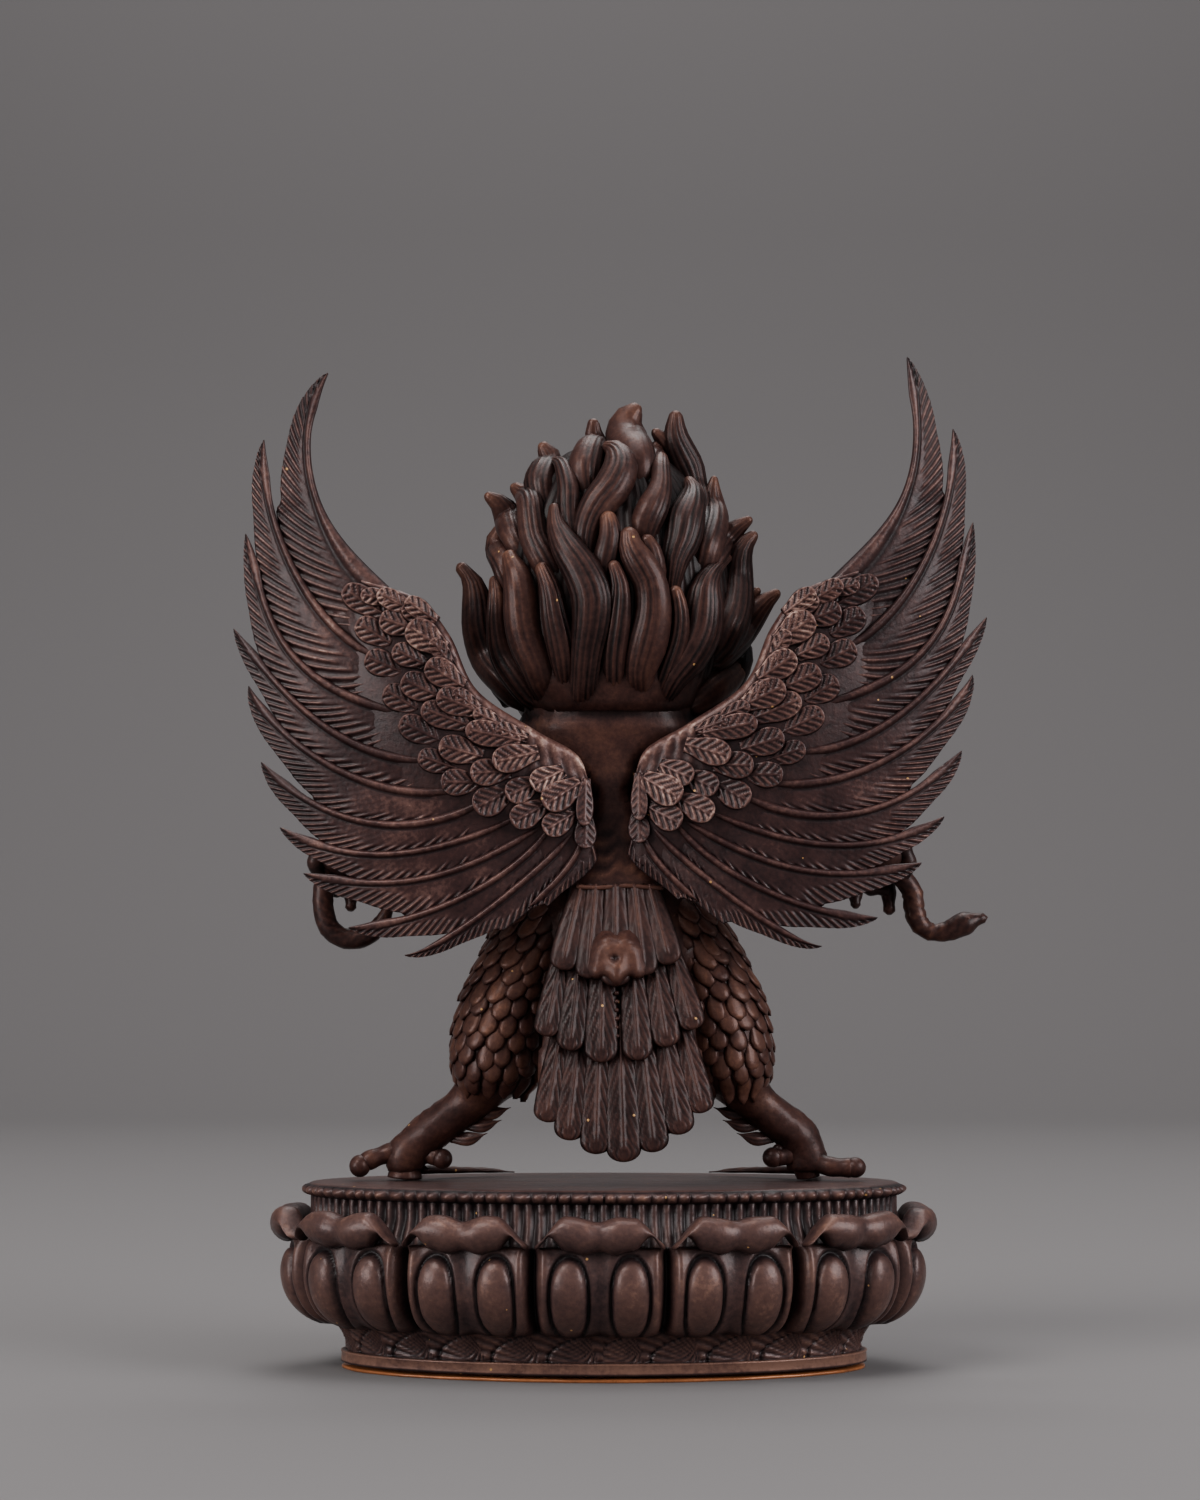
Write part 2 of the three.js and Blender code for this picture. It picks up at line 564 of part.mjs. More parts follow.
function garudaFigure() {
  const limbs = [-1, 1].flatMap((side) => [thigh(side), ...leg(side), ...arm(side)]);
  const body = join([torso(), ...limbs, snake(), ...tail(), ...head(), ...ornaments()]);
  const seats = [-1, 1].map((side) => rootPlug(side, SEAT_Y, SEAT_Y - 10 * UNIT, PLUG_CLEARANCE));
  const ground = new THREE.BoxGeometry(TOP_WIDTH, TOP_DEPTH, 4).translate(0, 0, -2);
  const cuts = [...seats, ground].map(solid);
  return cuts.reduce((sum, cut) => sum.subtract(cut), body).translate([FIGURE_OFFSET_X, 0, FIGURE_Z]);
}

// Wings, laid out for the right one from its root, as seen from behind
const LONG_FEATHERS = [
  { root: [21.7, 26.9], tip: [28.4, 51] },
  { root: [22.8, 20.2], tip: [34, 42.9] },
  { root: [20.2, 13.8], tip: [35.9, 32.8] },
  { root: [17.4, 8.6], tip: [36.8, 22.6] },
  { root: [14.9, 5.4], tip: [35.4, 16.4] },
  { root: [11.8, 3.4], tip: [34, 8.1] },
  { root: [8.4, 1.8], tip: [31.7, 1.3] },
  { root: [5.5, 0.7], tip: [29.1, -3.3] },
  { root: [4, 0.3], tip: [24.2, -8.9] },
  { root: [2.4, -0.8], tip: [18.2, -11.7] },
  { root: [0.6, -1.2], tip: [5.6, -7] },
];
const LEADING_EDGE = [[-0.6, 5.6], [0.4, 8.2], [5, 11], [11.2, 15.4], [14, 21.3], [17, 25.1], [23.5, 27.8]];
const COVERT_EDGE = [[-0.8, 3], [0, -0.4], [5.5, 0.8], [11.8, 3.4], [17.7, 8.8], [21.6, 16.5], [24.6, 26.6]];

// The wing's middle surface bends away from the back towards the tips.
const wingY = (x) => -10.5 + 4.5 * ((x + 2.9 - 18) / 22) ** 2;
const wingPoint = (x, z, out) => vec(x, wingY(x) - out, z).multiplyScalar(WING_UNIT);

function planar(points) {
  return new THREE.CatmullRomCurve3(points.map(([x, z]) => vec(x, 0, z)), false, "centripetal");
}

// One long feather: a raised shaft along its leading side, and a vane that thins out to the other side.
function longFeather(places, index) {
  const share = index / 9;
  const root = vec(places.root[0], 0, places.root[1]);
  const tip = vec(places.tip[0], 0, places.tip[1]);
  const heading = (degrees) => vec(Math.cos(rad(degrees)), 0, Math.sin(rad(degrees)));
  const start = heading(45 - 140 * share + 42 * share * share);
  const end = heading(105 - 112 * share);
  const length = root.distanceTo(tip);
  const from = root.clone().addScaledVector(start, mix(0.46, 0.3, share) * length);
  const to = tip.clone().addScaledVector(end, -(0.32 + 0.1 * Math.cos(2 * Math.PI * share)) * length);
  const curve = new THREE.CubicBezierCurve3(root, from, to, tip);
  const rootWidth = mix(7.8, 3.1, smooth(share));
  const rings = [-0.1, 0.28, 0.6, 0.84, 1].map((t) => {
    const middle = t < 0 ? root.clone().addScaledVector(start, t * length) : curve.getPoint(t);
    if (t === 1) return [wingPoint(middle.x, middle.z, 0)];
    const along = curve.getTangent(Math.max(t, 0));
    const taper = (1 - Math.max(0, 2 * t - 1) ** 1.6) ** 0.8;
    const width = mix(rootWidth, mix(3.3, 2.4, share), smooth(t / 0.5)) * taper;
    const thin = mix(1, 0.55, t);
    const front = -0.3 - 0.5 * share * smooth(t * 1.5);
    const section = [[front, 0], [0.2, 0.65], [width, -0.1], [0.35 * width, -0.75]];
    return section.map(([across, out]) =>
      wingPoint(middle.x + along.z * across, middle.z - along.x * across, out * thin),
    );
  });
  return loft(rings);
}

// The arm of the wing, a lens between its two edges.
function wingArm() {
  const [leading, trailing] = [planar(LEADING_EDGE), planar(COVERT_EDGE)];
  const rings = [0.03, 0.17, 0.37, 0.58, 0.79, 0.98].map((t) => {
    const [a, b] = [leading.getPoint(t), trailing.getPoint(t)];
    const full = Math.sin(Math.PI * mix(0.16, 0.88, t)) ** 0.5;
    const section = [[0, 0], [0.2, 0.95], [0.65, 1.1], [1.04, 0.2], [0.8, -0.7], [0.2, -0.6]];
    return section.map(([across, out]) => {
      const middle = a.clone().lerp(b, across);
      return wingPoint(middle.x, middle.z, out * full);
    });
  });
  return loft(rings);
}

// Rows of short leaf feathers on the arm. They turn with the arm from its root to its wrist.
const COVERT_ROWS = [
  { across: 0.84, count: 7 },
  { across: 0.5, count: 5 },
  { across: 0.2, count: 4 },
];

function covert(t, across) {
  const [a, b] = [planar(LEADING_EDGE).getPoint(t), planar(COVERT_EDGE).getPoint(t)];
  const middle = a.lerp(b, across);
  const turn = rad(mix(-72, 42, t));
  const place = (along, aside, out) => {
    const x = middle.x + Math.cos(turn) * along + Math.sin(turn) * aside;
    const z = middle.z + Math.sin(turn) * along - Math.cos(turn) * aside;
    return wingPoint(x, z, out);
  };
  const outline = [[-1.8, 0, 0.9], [0.5, 1.6, 1.25], [2.4, 0, 1.3], [0.5, -1.6, 1.25]];
  return loft([[place(0, 0, -0.3)], outline.map((p) => place(...p)), [place(0.8, 0, 1.75)]]);
}

function coverts() {
  return COVERT_ROWS.flatMap(({ across, count }) =>
    steps(count).map((i) => covert(mix(0.08, 0.94, (i + 0.5) / count), across)),
  );
}

function wing(side) {
  const origin = wingOrigin(side);
  const blade = join([wingArm(), ...LONG_FEATHERS.map(longFeather), ...coverts()]);
  const turned = blade.rotate([0, side > 0 ? RIGHT_WING_TURN : LEFT_WING_TURN, 0]);
  const placed = (side > 0 ? turned : turned.mirror([1, 0, 0])).translate(origin.toArray());
  const plug = rootPlug(side, SEAT_Y - SEAM_GAP, wingY(PLUG_MIDDLE.x) * WING_UNIT, 0);
  return placed.add(solid(plug)).translate([FIGURE_OFFSET_X, 0, FIGURE_Z]);
}

// Materials
const patina = { roughness: 0.42, metalness: 0.85 };
const darkCopper = new THREE.MeshStandardMaterial({ color: 0x3c2826, ...patina });
const wingCopper = new THREE.MeshStandardMaterial({ color: 0x46302c, ...patina });
const baseCopper = new THREE.MeshStandardMaterial({ color: 0x3a2523, ...patina });
const sheetCopper = new THREE.MeshStandardMaterial({ color: 0xb06a45, roughness: 0.35, metalness: 1 });

const garuda = new THREE.Group();
garuda.add(meshOf("base_plate", basePlate(), sheetCopper));
garuda.add(meshOf("lotus_base", lotusBase(), baseCopper));
garuda.add(meshOf("garuda_figure", garudaFigure(), darkCopper));
garuda.add(meshOf("left_wing", wing(-1), wingCopper));
garuda.add(meshOf("right_wing", wing(1), wingCopper));

export default garuda;
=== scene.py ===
# A garuda with raised wings on an oval lotus pedestal, cast in copper.
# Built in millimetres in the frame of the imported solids, and scaled to metres when a mesh is made.
import math

import bmesh
import bpy
import numpy as np
from mathutils import Matrix, Vector


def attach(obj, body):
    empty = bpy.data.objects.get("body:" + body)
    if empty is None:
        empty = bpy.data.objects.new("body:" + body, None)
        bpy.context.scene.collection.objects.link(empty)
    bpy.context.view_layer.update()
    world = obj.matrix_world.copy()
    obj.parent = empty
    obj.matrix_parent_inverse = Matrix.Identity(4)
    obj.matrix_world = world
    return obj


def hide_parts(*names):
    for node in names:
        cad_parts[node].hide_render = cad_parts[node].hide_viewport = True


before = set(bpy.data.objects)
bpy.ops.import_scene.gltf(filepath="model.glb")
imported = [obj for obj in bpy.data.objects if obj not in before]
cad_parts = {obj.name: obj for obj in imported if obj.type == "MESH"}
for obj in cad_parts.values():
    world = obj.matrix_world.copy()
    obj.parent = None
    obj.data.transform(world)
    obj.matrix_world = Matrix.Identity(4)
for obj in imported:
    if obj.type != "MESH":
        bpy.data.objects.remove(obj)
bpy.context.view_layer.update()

MM = 0.001
TAU = 2 * math.pi
CURVE_POINTS = 160  # points on each flat curve


# Numbers and curves
def smooth(t):
    t = np.clip(t, 0.0, 1.0)
    return t * t * (3 - 2 * t)


def lerp(a, b, t):
    return a + (b - a) * t


def pulse(x, middle, width):
    return np.exp(-(((x - middle) / width) ** 2))


def wave(v):
    return 0.5 + 0.5 * np.cos(v)


def arch(x, power):
    """1 in the middle, and down to 0 where x is 1 away from it."""
    return np.sqrt(np.clip(1 - np.abs(x) ** power, 0, 1))


def spot(x, z, middle, size):
    """A soft round spot."""
    return np.exp(-(((x - middle[0]) / size[0]) ** 2) - ((z - middle[1]) / size[1]) ** 2)


def run_length(points):
    """How far along a row of points each of them lies."""
    return np.concatenate([[0], np.cumsum(np.linalg.norm(np.diff(points, axis=0), axis=1))])


def chances(keys):
    """A fixed number from 0 to 1 for each key."""
    return np.mod(np.sin(keys) * 4375.85, 1.0)


def chance(*keys):
    """A fixed number from 0 to 1 for some keys."""
    total = sum(k * w for k, w in zip(keys, (12.9898, 78.233, 37.719, 93.989)))
    return (math.sin(total + 4.1) * 43758.5453) % 1.0


def unit(v):
    return v / np.maximum(np.linalg.norm(v, axis=-1, keepdims=True), 1e-9)


class Line:
    """A smooth line through points, read by the share of its length."""

    def __init__(self, points, dense=20):
        p = np.asarray(points, float)
        p = np.vstack([2 * p[0] - p[1], p, 2 * p[-1] - p[-2]])
        step = np.maximum(np.linalg.norm(np.diff(p, axis=0), axis=1) ** 0.5, 1e-6)
        u = np.linspace(0, 1, dense, endpoint=False)[:, None]
        rows = []
        for i in range(1, len(p) - 2):
            a, b, c = step[i - 1], step[i], step[i + 1]
            m1 = ((p[i] - p[i - 1]) / a - (p[i + 1] - p[i - 1]) / (a + b) + (p[i + 1] - p[i]) / b) * b
            m2 = ((p[i + 1] - p[i]) / b - (p[i + 2] - p[i]) / (b + c) + (p[i + 2] - p[i + 1]) / c) * b
            d = p[i + 1] - p[i]
            rows.append(p[i] + u * m1 + u**2 * (3 * d - 2 * m1 - m2) + u**3 * (m1 + m2 - 2 * d))
        self.p = np.vstack(rows + [p[-2:-1]])
        run = np.linalg.norm(np.diff(self.p, axis=0), axis=1)
        self.length = run.sum()
        self.s = np.concatenate([[0], np.cumsum(run)]) / self.length
        self.d = unit(np.gradient(self.p, axis=0))

    def at(self, t):
        return np.stack([np.interp(t, self.s, self.p[:, k]) for k in range(self.p.shape[1])], -1)

    def along(self, t):
        return unit(np.stack([np.interp(t, self.s, self.d[:, k]) for k in range(self.p.shape[1])], -1))


def bezier(root, tip, start, end, first, last):
    """Points of a flat curve between two places, with its headings in degrees and its handles as shares."""
    root, tip = np.array(root, float), np.array(tip, float)
    reach = np.linalg.norm(tip - root)
    heading = lambda d: np.array([math.cos(math.radians(d)), math.sin(math.radians(d))])
    a, b = root + heading(start) * first * reach, tip - heading(end) * last * reach
    u = np.linspace(0, 1, CURVE_POINTS)[:, None]
    return (1 - u) ** 3 * root + 3 * (1 - u) ** 2 * u * a + 3 * (1 - u) * u**2 * b + u**3 * tip


# Meshes
class Shells:
    """Closed shells that become one mesh. Each point has a wear: 0 in a crevice or deep painted shade, 1 on a
    rubbed crest or painted highlight.
    """

    def __init__(self):
        self.points, self.wear, self.quads, self.tris, self.count = [], [], [], [], 0

    def add(self, points, wear):
        points = np.asarray(points, float).reshape(-1, 3)
        wear = np.broadcast_to(np.asarray(wear, float).ravel(), (len(points),))
        start = self.count
        self.points.append(points)
        self.wear.append(np.clip(wear, 0, 1))
        self.count += len(points)
        return start

    def grid(self, points, wear=0.5):
        """Closed rings of points, joined one to the next, with a cap on the first and on the last."""
        n, m = points.shape[:2]
        wear = np.broadcast_to(wear, (n, m))
        start = self.add(points, wear.ravel())
        index = start + np.arange(n * m).reshape(n, m)
        after = np.roll(index, -1, axis=1)
        self.quads.append(np.stack([index[:-1], after[:-1], after[1:], index[1:]], -1).reshape(-1, 4))
        for row, flip in ((0, True), (n - 1, False)):
            hub = self.add(points[row].mean(axis=0), wear[row].mean())
            fan = np.stack([index[row], after[row], np.full(m, hub)], -1)
            self.tris.append(fan[:, ::-1] if flip else fan)

    def flake(self, front, back, wear, back_wear):
        """A thin closed body from the grids of its front and its back."""
        front_wear = np.broadcast_to(wear, front.shape[:2])
        # The back, hidden under the front, takes one dark value as painted shade.
        worn_and_shaded = np.hstack([front_wear, np.full(back.shape[:2], back_wear)])
        self.grid(np.hstack([front, back]), worn_and_shaded.clip(0, 1))

    def skin(self, points, faces, wear):
        """A ready mesh with faces of three or four corners."""
        start = self.add(points, wear)
        for corners, kept in ((4, self.quads), (3, self.tris)):
            chosen = [f for f in faces if len(f) == corners]
            if chosen:
                kept.append(np.array(chosen) + start)

    def mesh(self, name):
        points = np.vstack(self.points)
        quads, tris = np.vstack(self.quads), np.vstack(self.tris)
        me = bpy.data.meshes.new(name)
        me.vertices.add(len(points))
        me.vertices.foreach_set("co", (points * MM).ravel())
        loops = np.concatenate([quads.ravel(), tris.ravel()])
        me.loops.add(len(loops))
        me.loops.foreach_set("vertex_index", loops.astype(np.int32))
        sizes = np.concatenate([np.full(len(quads), 4), np.full(len(tris), 3)])
        starts = np.concatenate([[0], np.cumsum(sizes)[:-1]])
        me.polygons.add(len(sizes))
        me.polygons.foreach_set("loop_start", starts.astype(np.int32))
        me.polygons.foreach_set("loop_total", sizes.astype(np.int32))
        me.polygons.foreach_set("use_smooth", np.ones(len(sizes), bool))
        me.update(calc_edges=True)
        layer = me.attributes.new("wear", "FLOAT", "POINT")
        layer.data.foreach_set("value", np.concatenate([np.ravel(w) for w in self.wear]).astype(np.float32))
        return me


def placed(name, data):
    """An object at the origin of the scene."""
    ob = bpy.data.objects.new(name, data)
    bpy.context.scene.collection.objects.link(ob)
    return ob


def piece(name, shells, material, node):
    """One visible piece: it moves with the root, stands in for a node and fills its material slot."""
    me = shells.mesh(name)
    bm = bmesh.new()
    bm.from_mesh(me)
    bmesh.ops.recalc_face_normals(bm, faces=bm.faces)
    bm.to_mesh(me)
    bm.free()
    ob = placed(name, me)
    me.materials.append(material)
    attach(ob, "root")
    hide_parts(node)


def tube(shells, line, count, sides, half_width, half_depth, face, relief=None, wear=0.5):
    """A closed body along a line. face points out of its front; relief gives a height and a wear with painted
    light and shade.
    """
    t = np.linspace(0, 1, count)
    middle, along = line.at(t), line.along(t)
    across = unit(np.cross(along, np.array(face, float)))
    out = np.cross(across, along)
    a = TAU * (np.arange(sides) / sides + 0.25)
    c, s = np.cos(a)[None, :, None], np.sin(a)[None, :, None]
    w = np.asarray(half_width(t), float)[:, None, None]
    h = np.asarray(half_depth(t), float)[:, None, None]
    points = middle[:, None] + across[:, None] * w * c + out[:, None] * h * s
    if relief is not None:
        height, wear = relief(t[:, None] * line.length, c[..., 0], s[..., 0], t[:, None])
        points = points + (across[:, None] * c + out[:, None] * s) * height[..., None]
    shells.grid(points, wear)


def even(size):
    """The same size all along a line."""
    return lambda t: size + 0 * t


def under(v, inner):
    """Some columns of a grid in reverse order, for the back of a flake."""
    return v[:, inner][:, ::-1]


def tapers(*pairs):
    """A smooth function through (share, value) pairs."""
    x, y = zip(*pairs)

    def value(t):
        k = np.clip(np.searchsorted(x, t, side="right") - 1, 0, len(x) - 2)
        x0, x1 = np.take(x, k), np.take(x, k + 1)
        y0, y1 = np.take(y, k), np.take(y, k + 1)
        return lerp(y0, y1, smooth((t - x0) / (x1 - x0)))

    return value


def ball(shells, middle, radii, rows=14, sides=20, wear=0.5):
    lat = np.linspace(-math.pi / 2, math.pi / 2, rows + 2)[1:-1]
    lon = np.arange(sides) / sides * TAU
    ring = np.cos(lat)[:, None]
    up = np.broadcast_to(np.sin(lat)[:, None], (rows, sides))
    xyz = np.stack([ring * np.cos(lon), ring * np.sin(lon), up], -1)
    shells.grid(np.array(middle, float) + xyz * np.array(radii, float), wear)


def superellipse(c, s, power):
    """How far out a rounded square reaches in each direction. The power is 2 for a circle."""
    return (np.abs(c) ** power + np.abs(s) ** power) ** (-1 / power)


def ovals(shells, levels, sides, squareness):
    """An upright body through level rounded ovals: height, middle x, middle y, half width, half depth."""
    rows = np.array(levels, float)
    dense = 6
    line = Line(rows, dense)
    t = np.linspace(0, 1, len(rows) * dense)
    a = TAU * np.arange(sides) / sides
    c, s = np.cos(a), np.sin(a)
    size = superellipse(c, s, squareness)
    r = line.at(t)
    x = r[:, 1:2] + r[:, 3:4] * size * c
    y = r[:, 2:3] + r[:, 4:5] * size * s
    shells.grid(np.stack([x, y, np.broadcast_to(r[:, 0:1], x.shape)], -1))


def blended(shells, voxel, rounds):
    """The outer skin of overlapping shells, melted into one closed mesh."""
    me = shells.mesh("melt")
    me.transform(Matrix.Scale(1 / MM, 4))
    ob = placed("melt", me)
    remesh = ob.modifiers.new("melt", "REMESH")
    remesh.mode, remesh.voxel_size, remesh.adaptivity = "VOXEL", voxel, 0.0
    soften = ob.modifiers.new("soften", "SMOOTH")
    soften.factor, soften.iterations = 0.5, rounds
    done = bpy.data.meshes.new_from_object(ob.evaluated_get(bpy.context.evaluated_depsgraph_get()))
    points, normals = np.empty(len(done.vertices) * 3), np.empty(len(done.vertices) * 3)
    done.vertices.foreach_get("co", points)
    done.vertices.foreach_get("normal", normals)
    faces = [tuple(p.vertices) for p in done.polygons]
    bpy.data.objects.remove(ob)
    bpy.data.meshes.remove(me)
    bpy.data.meshes.remove(done)
    return points.reshape(-1, 3), normals.reshape(-1, 3), faces


def ripple(points, scale, seed):
    """Soft noise of about one unit, from a few rotated waves."""
    total = np.zeros(len(points))
    for k in range(6):
        a = np.array([chance(seed, k, 1), chance(seed, k, 2), chance(seed, k, 3)]) - 0.5
        a = a / np.linalg.norm(a) * (1 + 0.5 * chance(seed, k, 4)) / scale * TAU
        total += np.sin(points @ a + TAU * chance(seed, k, 5))
    return total / 3


# Places
FIGURE_X, FIGURE_Z = 0.9, 19.85
PEDESTAL_Z = 0.65


def fig(x, y, z):
    return np.array([x + FIGURE_X, y, z + FIGURE_Z], float)


def figs(points):
    return np.array([fig(*p) for p in points])


def mirrored(side, points):
    """Points laid out for the right side, taken to the given side."""
    return [(side * x, y, z) for x, y, z in points]


# Pedestal
TOP_WIDTH, TOP_DEPTH, PEDESTAL_HEIGHT = 62.8, 36.4, 18.9
FOOT_HEIGHT, WAIST_INSET, WAIST_HEIGHT = 1.3, 4.1, 2.3
LOTUS_HEIGHT, LOTUS_BULGE = 9.6, 2.6
LOTUS_Z = FOOT_HEIGHT + WAIST_HEIGHT
PETALS, PETAL_TURN = 12, -0.0025
STAMENS, BEADS = 124, 105
FAN_SPAN, FAN_LINES = 6.4, 38  # width of one hatched fan on the waist, and its lines in a turn
HATCH_ROWS, LOTUS_ROWS, STAMEN_ROWS, BEAD_ROWS = 13, 34, 6, 11
PLAN_POINTS = 7201
# Outset and height along the foot, and outset, depth below the top and wear and painted shade over the deck
FOOT_PROFILE = [
    (-5.4, 0.0), (-3.6, 0.0), (-3.42, 0.08), (-3.4, 0.3), (-3.46, 1.02), (-3.36, 1.12), (-3.38, 1.24),
    (-3.6, 1.3), (-4.0, 1.28),
]
DECK_PROFILE = [(0.15, -0.12, 0.5), (-0.1, -0.02, 0.6), (-0.6, 0.0, 0.55), (-6, 0.0, 0.5), (-12, 0.0, 0.5)]
# Outset and height across the closing sheet
SHEET_PROFILE = [(-9, 0.0), (-0.1, 0.0), (0, 0.06), (0, 0.26), (-0.1, 0.34), (-9, 0.34)]


def plan_table():
    """The top's oval outline, the share of its length at each point, and that length."""
    a = np.linspace(-math.pi / 2, 1.5 * math.pi, PLAN_POINTS)
    p = np.stack([TOP_WIDTH / 2 * np.cos(a), TOP_DEPTH / 2 * np.sin(a)], -1)
    run = run_length(p)
    return p, run / run[-1], run[-1]


PLAN, PLAN_SHARE, PLAN_LENGTH = plan_table()
PETAL_PITCH = PLAN_LENGTH / PETALS


def on_plan(turn, outset, z):
    """Points beside the top's edge. turn is the share of the way round, from the middle of the back."""
    turn, outset, z = np.broadcast_arrays(np.asarray(turn, float), outset, z)
    share = np.mod(turn, 1.0)
    x, y = np.interp(share, PLAN_SHARE, PLAN[:, 0]), np.interp(share, PLAN_SHARE, PLAN[:, 1])
    a = np.arctan2(y / TOP_DEPTH, x / TOP_WIDTH)
    tx, ty = -TOP_WIDTH * np.sin(a), TOP_DEPTH * np.cos(a)
    size = np.hypot(tx, ty)
    return np.stack([x + ty / size * outset, y - tx / size * outset, z + PEDESTAL_Z], -1)


def lotus_outset(h):
    """The round swell of the lotus, at a share of its height."""
    swell = np.sin(math.pi * lerp(0.04, 0.66, np.clip(h, 0, 1) ** 0.75)) ** 0.66
    return lerp(-WAIST_INSET, LOTUS_BULGE, swell)


def petal_relief(c, h):
    """Height and wear with painted shade on a petal, at c millimetres from its middle and a share of the
    lotus's height.
    """
    half = PETAL_PITCH / 2
    edge = half - np.abs(c)
    fade = smooth((h + 0.02) / 0.14) * (1 - 0.6 * smooth((h - 0.9) / 0.1))
    groove = -1.75 * np.exp(-((edge / 0.42) ** 1.4)) - 0.5 * pulse(edge, 0, 1.5)
    aside = (np.abs(c) - 3.0) / 1.74
    up = (h - 0.455) / 0.425
    shape = (np.abs(aside) ** 2.2 + np.abs(up) ** 2.7) ** (1 / 2.45)
    boss = 0.85 * arch(shape, 2.3)
    ring = -0.55 * pulse(shape, 1.08, 0.065)
    rim = 0.55 * pulse(np.abs(c), 5.5, 0.62)
    valley = -0.3 * pulse(c, 0, 1.1) * smooth(h / 0.2)
    height = (groove + valley + rim) * fade + (boss + ring) * smooth((h + 0.02) / 0.06)
    # The grooves and ring are darker, from patina and painted shade, and the low part where the lotus turns
    # under is painted darker as shade.
    wear = 0.56 + 0.14 * boss - 0.5 * pulse(edge, 0, 0.35) - 0.5 * pulse(shape, 1.08, 0.075)
    return height, wear + 0.2 * rim - 0.14 * pulse(c, 0, 0.9) - 0.3 * (1 - smooth(h / 0.12))


def pedestal_body(shells):
    """Rings from the foot up: foot, hatched waist, petals, stamens, beads and deck."""
    around = 960
    turn = np.arange(around) / around
    place = np.mod(turn - PETAL_TURN + 0.5 / PETALS, 1.0) * PETALS
    c = (place % 1.0 - 0.5) * PETAL_PITCH
    arc = turn * PLAN_LENGTH
    rows = []

    def row(outset, z, wear):
        full = lambda v: np.broadcast_to(np.asarray(v, float), turn.shape)
        rows.append((on_plan(turn, full(outset), full(z)), full(wear)))

    rim = PEDESTAL_HEIGHT - 1.4
    # The foot's outer band is light, and its underside and the inner step under the waist are painted dark as
    # shade.
    for k, (outset, z) in enumerate(FOOT_PROFILE):
        row(outset + 0.05 * np.sin(arc * 0.21), z, 0.95 if 2 < k < 8 else 0.3)
    for k in range(HATCH_ROWS):
        h = k / (HATCH_ROWS - 1)
        z = lerp(FOOT_HEIGHT + 0.02, LOTUS_Z + 0.45, h)
        u = np.mod(arc / FAN_SPAN + 0.18 * h + 0.3, 1.0)
        edge = np.abs(u - (0.12 + 0.75 * h * h))
        fan = np.arctan2(h * 2.9 + 0.6, (u - 1.12) * FAN_SPAN)
        hatch = wave(fan * FAN_LINES)
        line = pulse(edge * FAN_SPAN, 0, 0.2)
        flare = 1.15 * h**2.2
        row(-WAIST_INSET + flare + 0.26 * hatch - 0.36 * line, z, 0.4 + 0.4 * hatch - 0.4 * line)
    for k in range(LOTUS_ROWS):
        h = (k / (LOTUS_ROWS - 1)) ** 0.9
        height, wear = petal_relief(c, h)
        lobe = 0.5 * (np.abs(np.abs(c) - 3.05) / 3.3) ** 2.2 * (1 - smooth(h / 0.25))
        z = LOTUS_Z + 0.1 + LOTUS_HEIGHT * h + lobe + (0.3 if k == 0 else 0)
        row(lotus_outset(h) + height - 0.15, z, wear)
    stamen = wave(TAU * arc / (PLAN_LENGTH / STAMENS))
    for k in range(STAMEN_ROWS):
        h = k / (STAMEN_ROWS - 1)
        z = lerp(LOTUS_Z + LOTUS_HEIGHT + 0.15, rim - 0.05, h)
        out = lerp(0.95, 0.0, smooth(h * 1.6)) - 0.42 * (1 - stamen**0.6)
        row(out, z, 0.16 + 0.4 * stamen)
    bead = np.abs(np.sin(math.pi * BEADS * turn + 0.6 * np.sin(arc * 0.9)))
    # Each bead is lighter where it bulges out, and is painted dark as shade between beads and where it turns
    # under.
    for k in range(BEAD_ROWS):
        h = k / (BEAD_ROWS - 1)
        bulge = math.sin(math.pi * h) ** 0.6
        z = lerp(rim + 0.02, PEDESTAL_HEIGHT - 0.22, h)
        size = 0.86 + 0.14 * np.sin(arc * 2.3)
        out = lerp(-0.1, 0.3, h) + bulge * (0.25 + 0.72 * size * bead**0.6)
        row(out, z, 0.12 + (0.3 + 0.38 * bead) * bulge)
    for outset, z, wear in DECK_PROFILE:
        row(outset, PEDESTAL_HEIGHT + z, wear)
    shells.grid(np.stack([points for points, wear in rows]), np.stack([wear for points, wear in rows]))


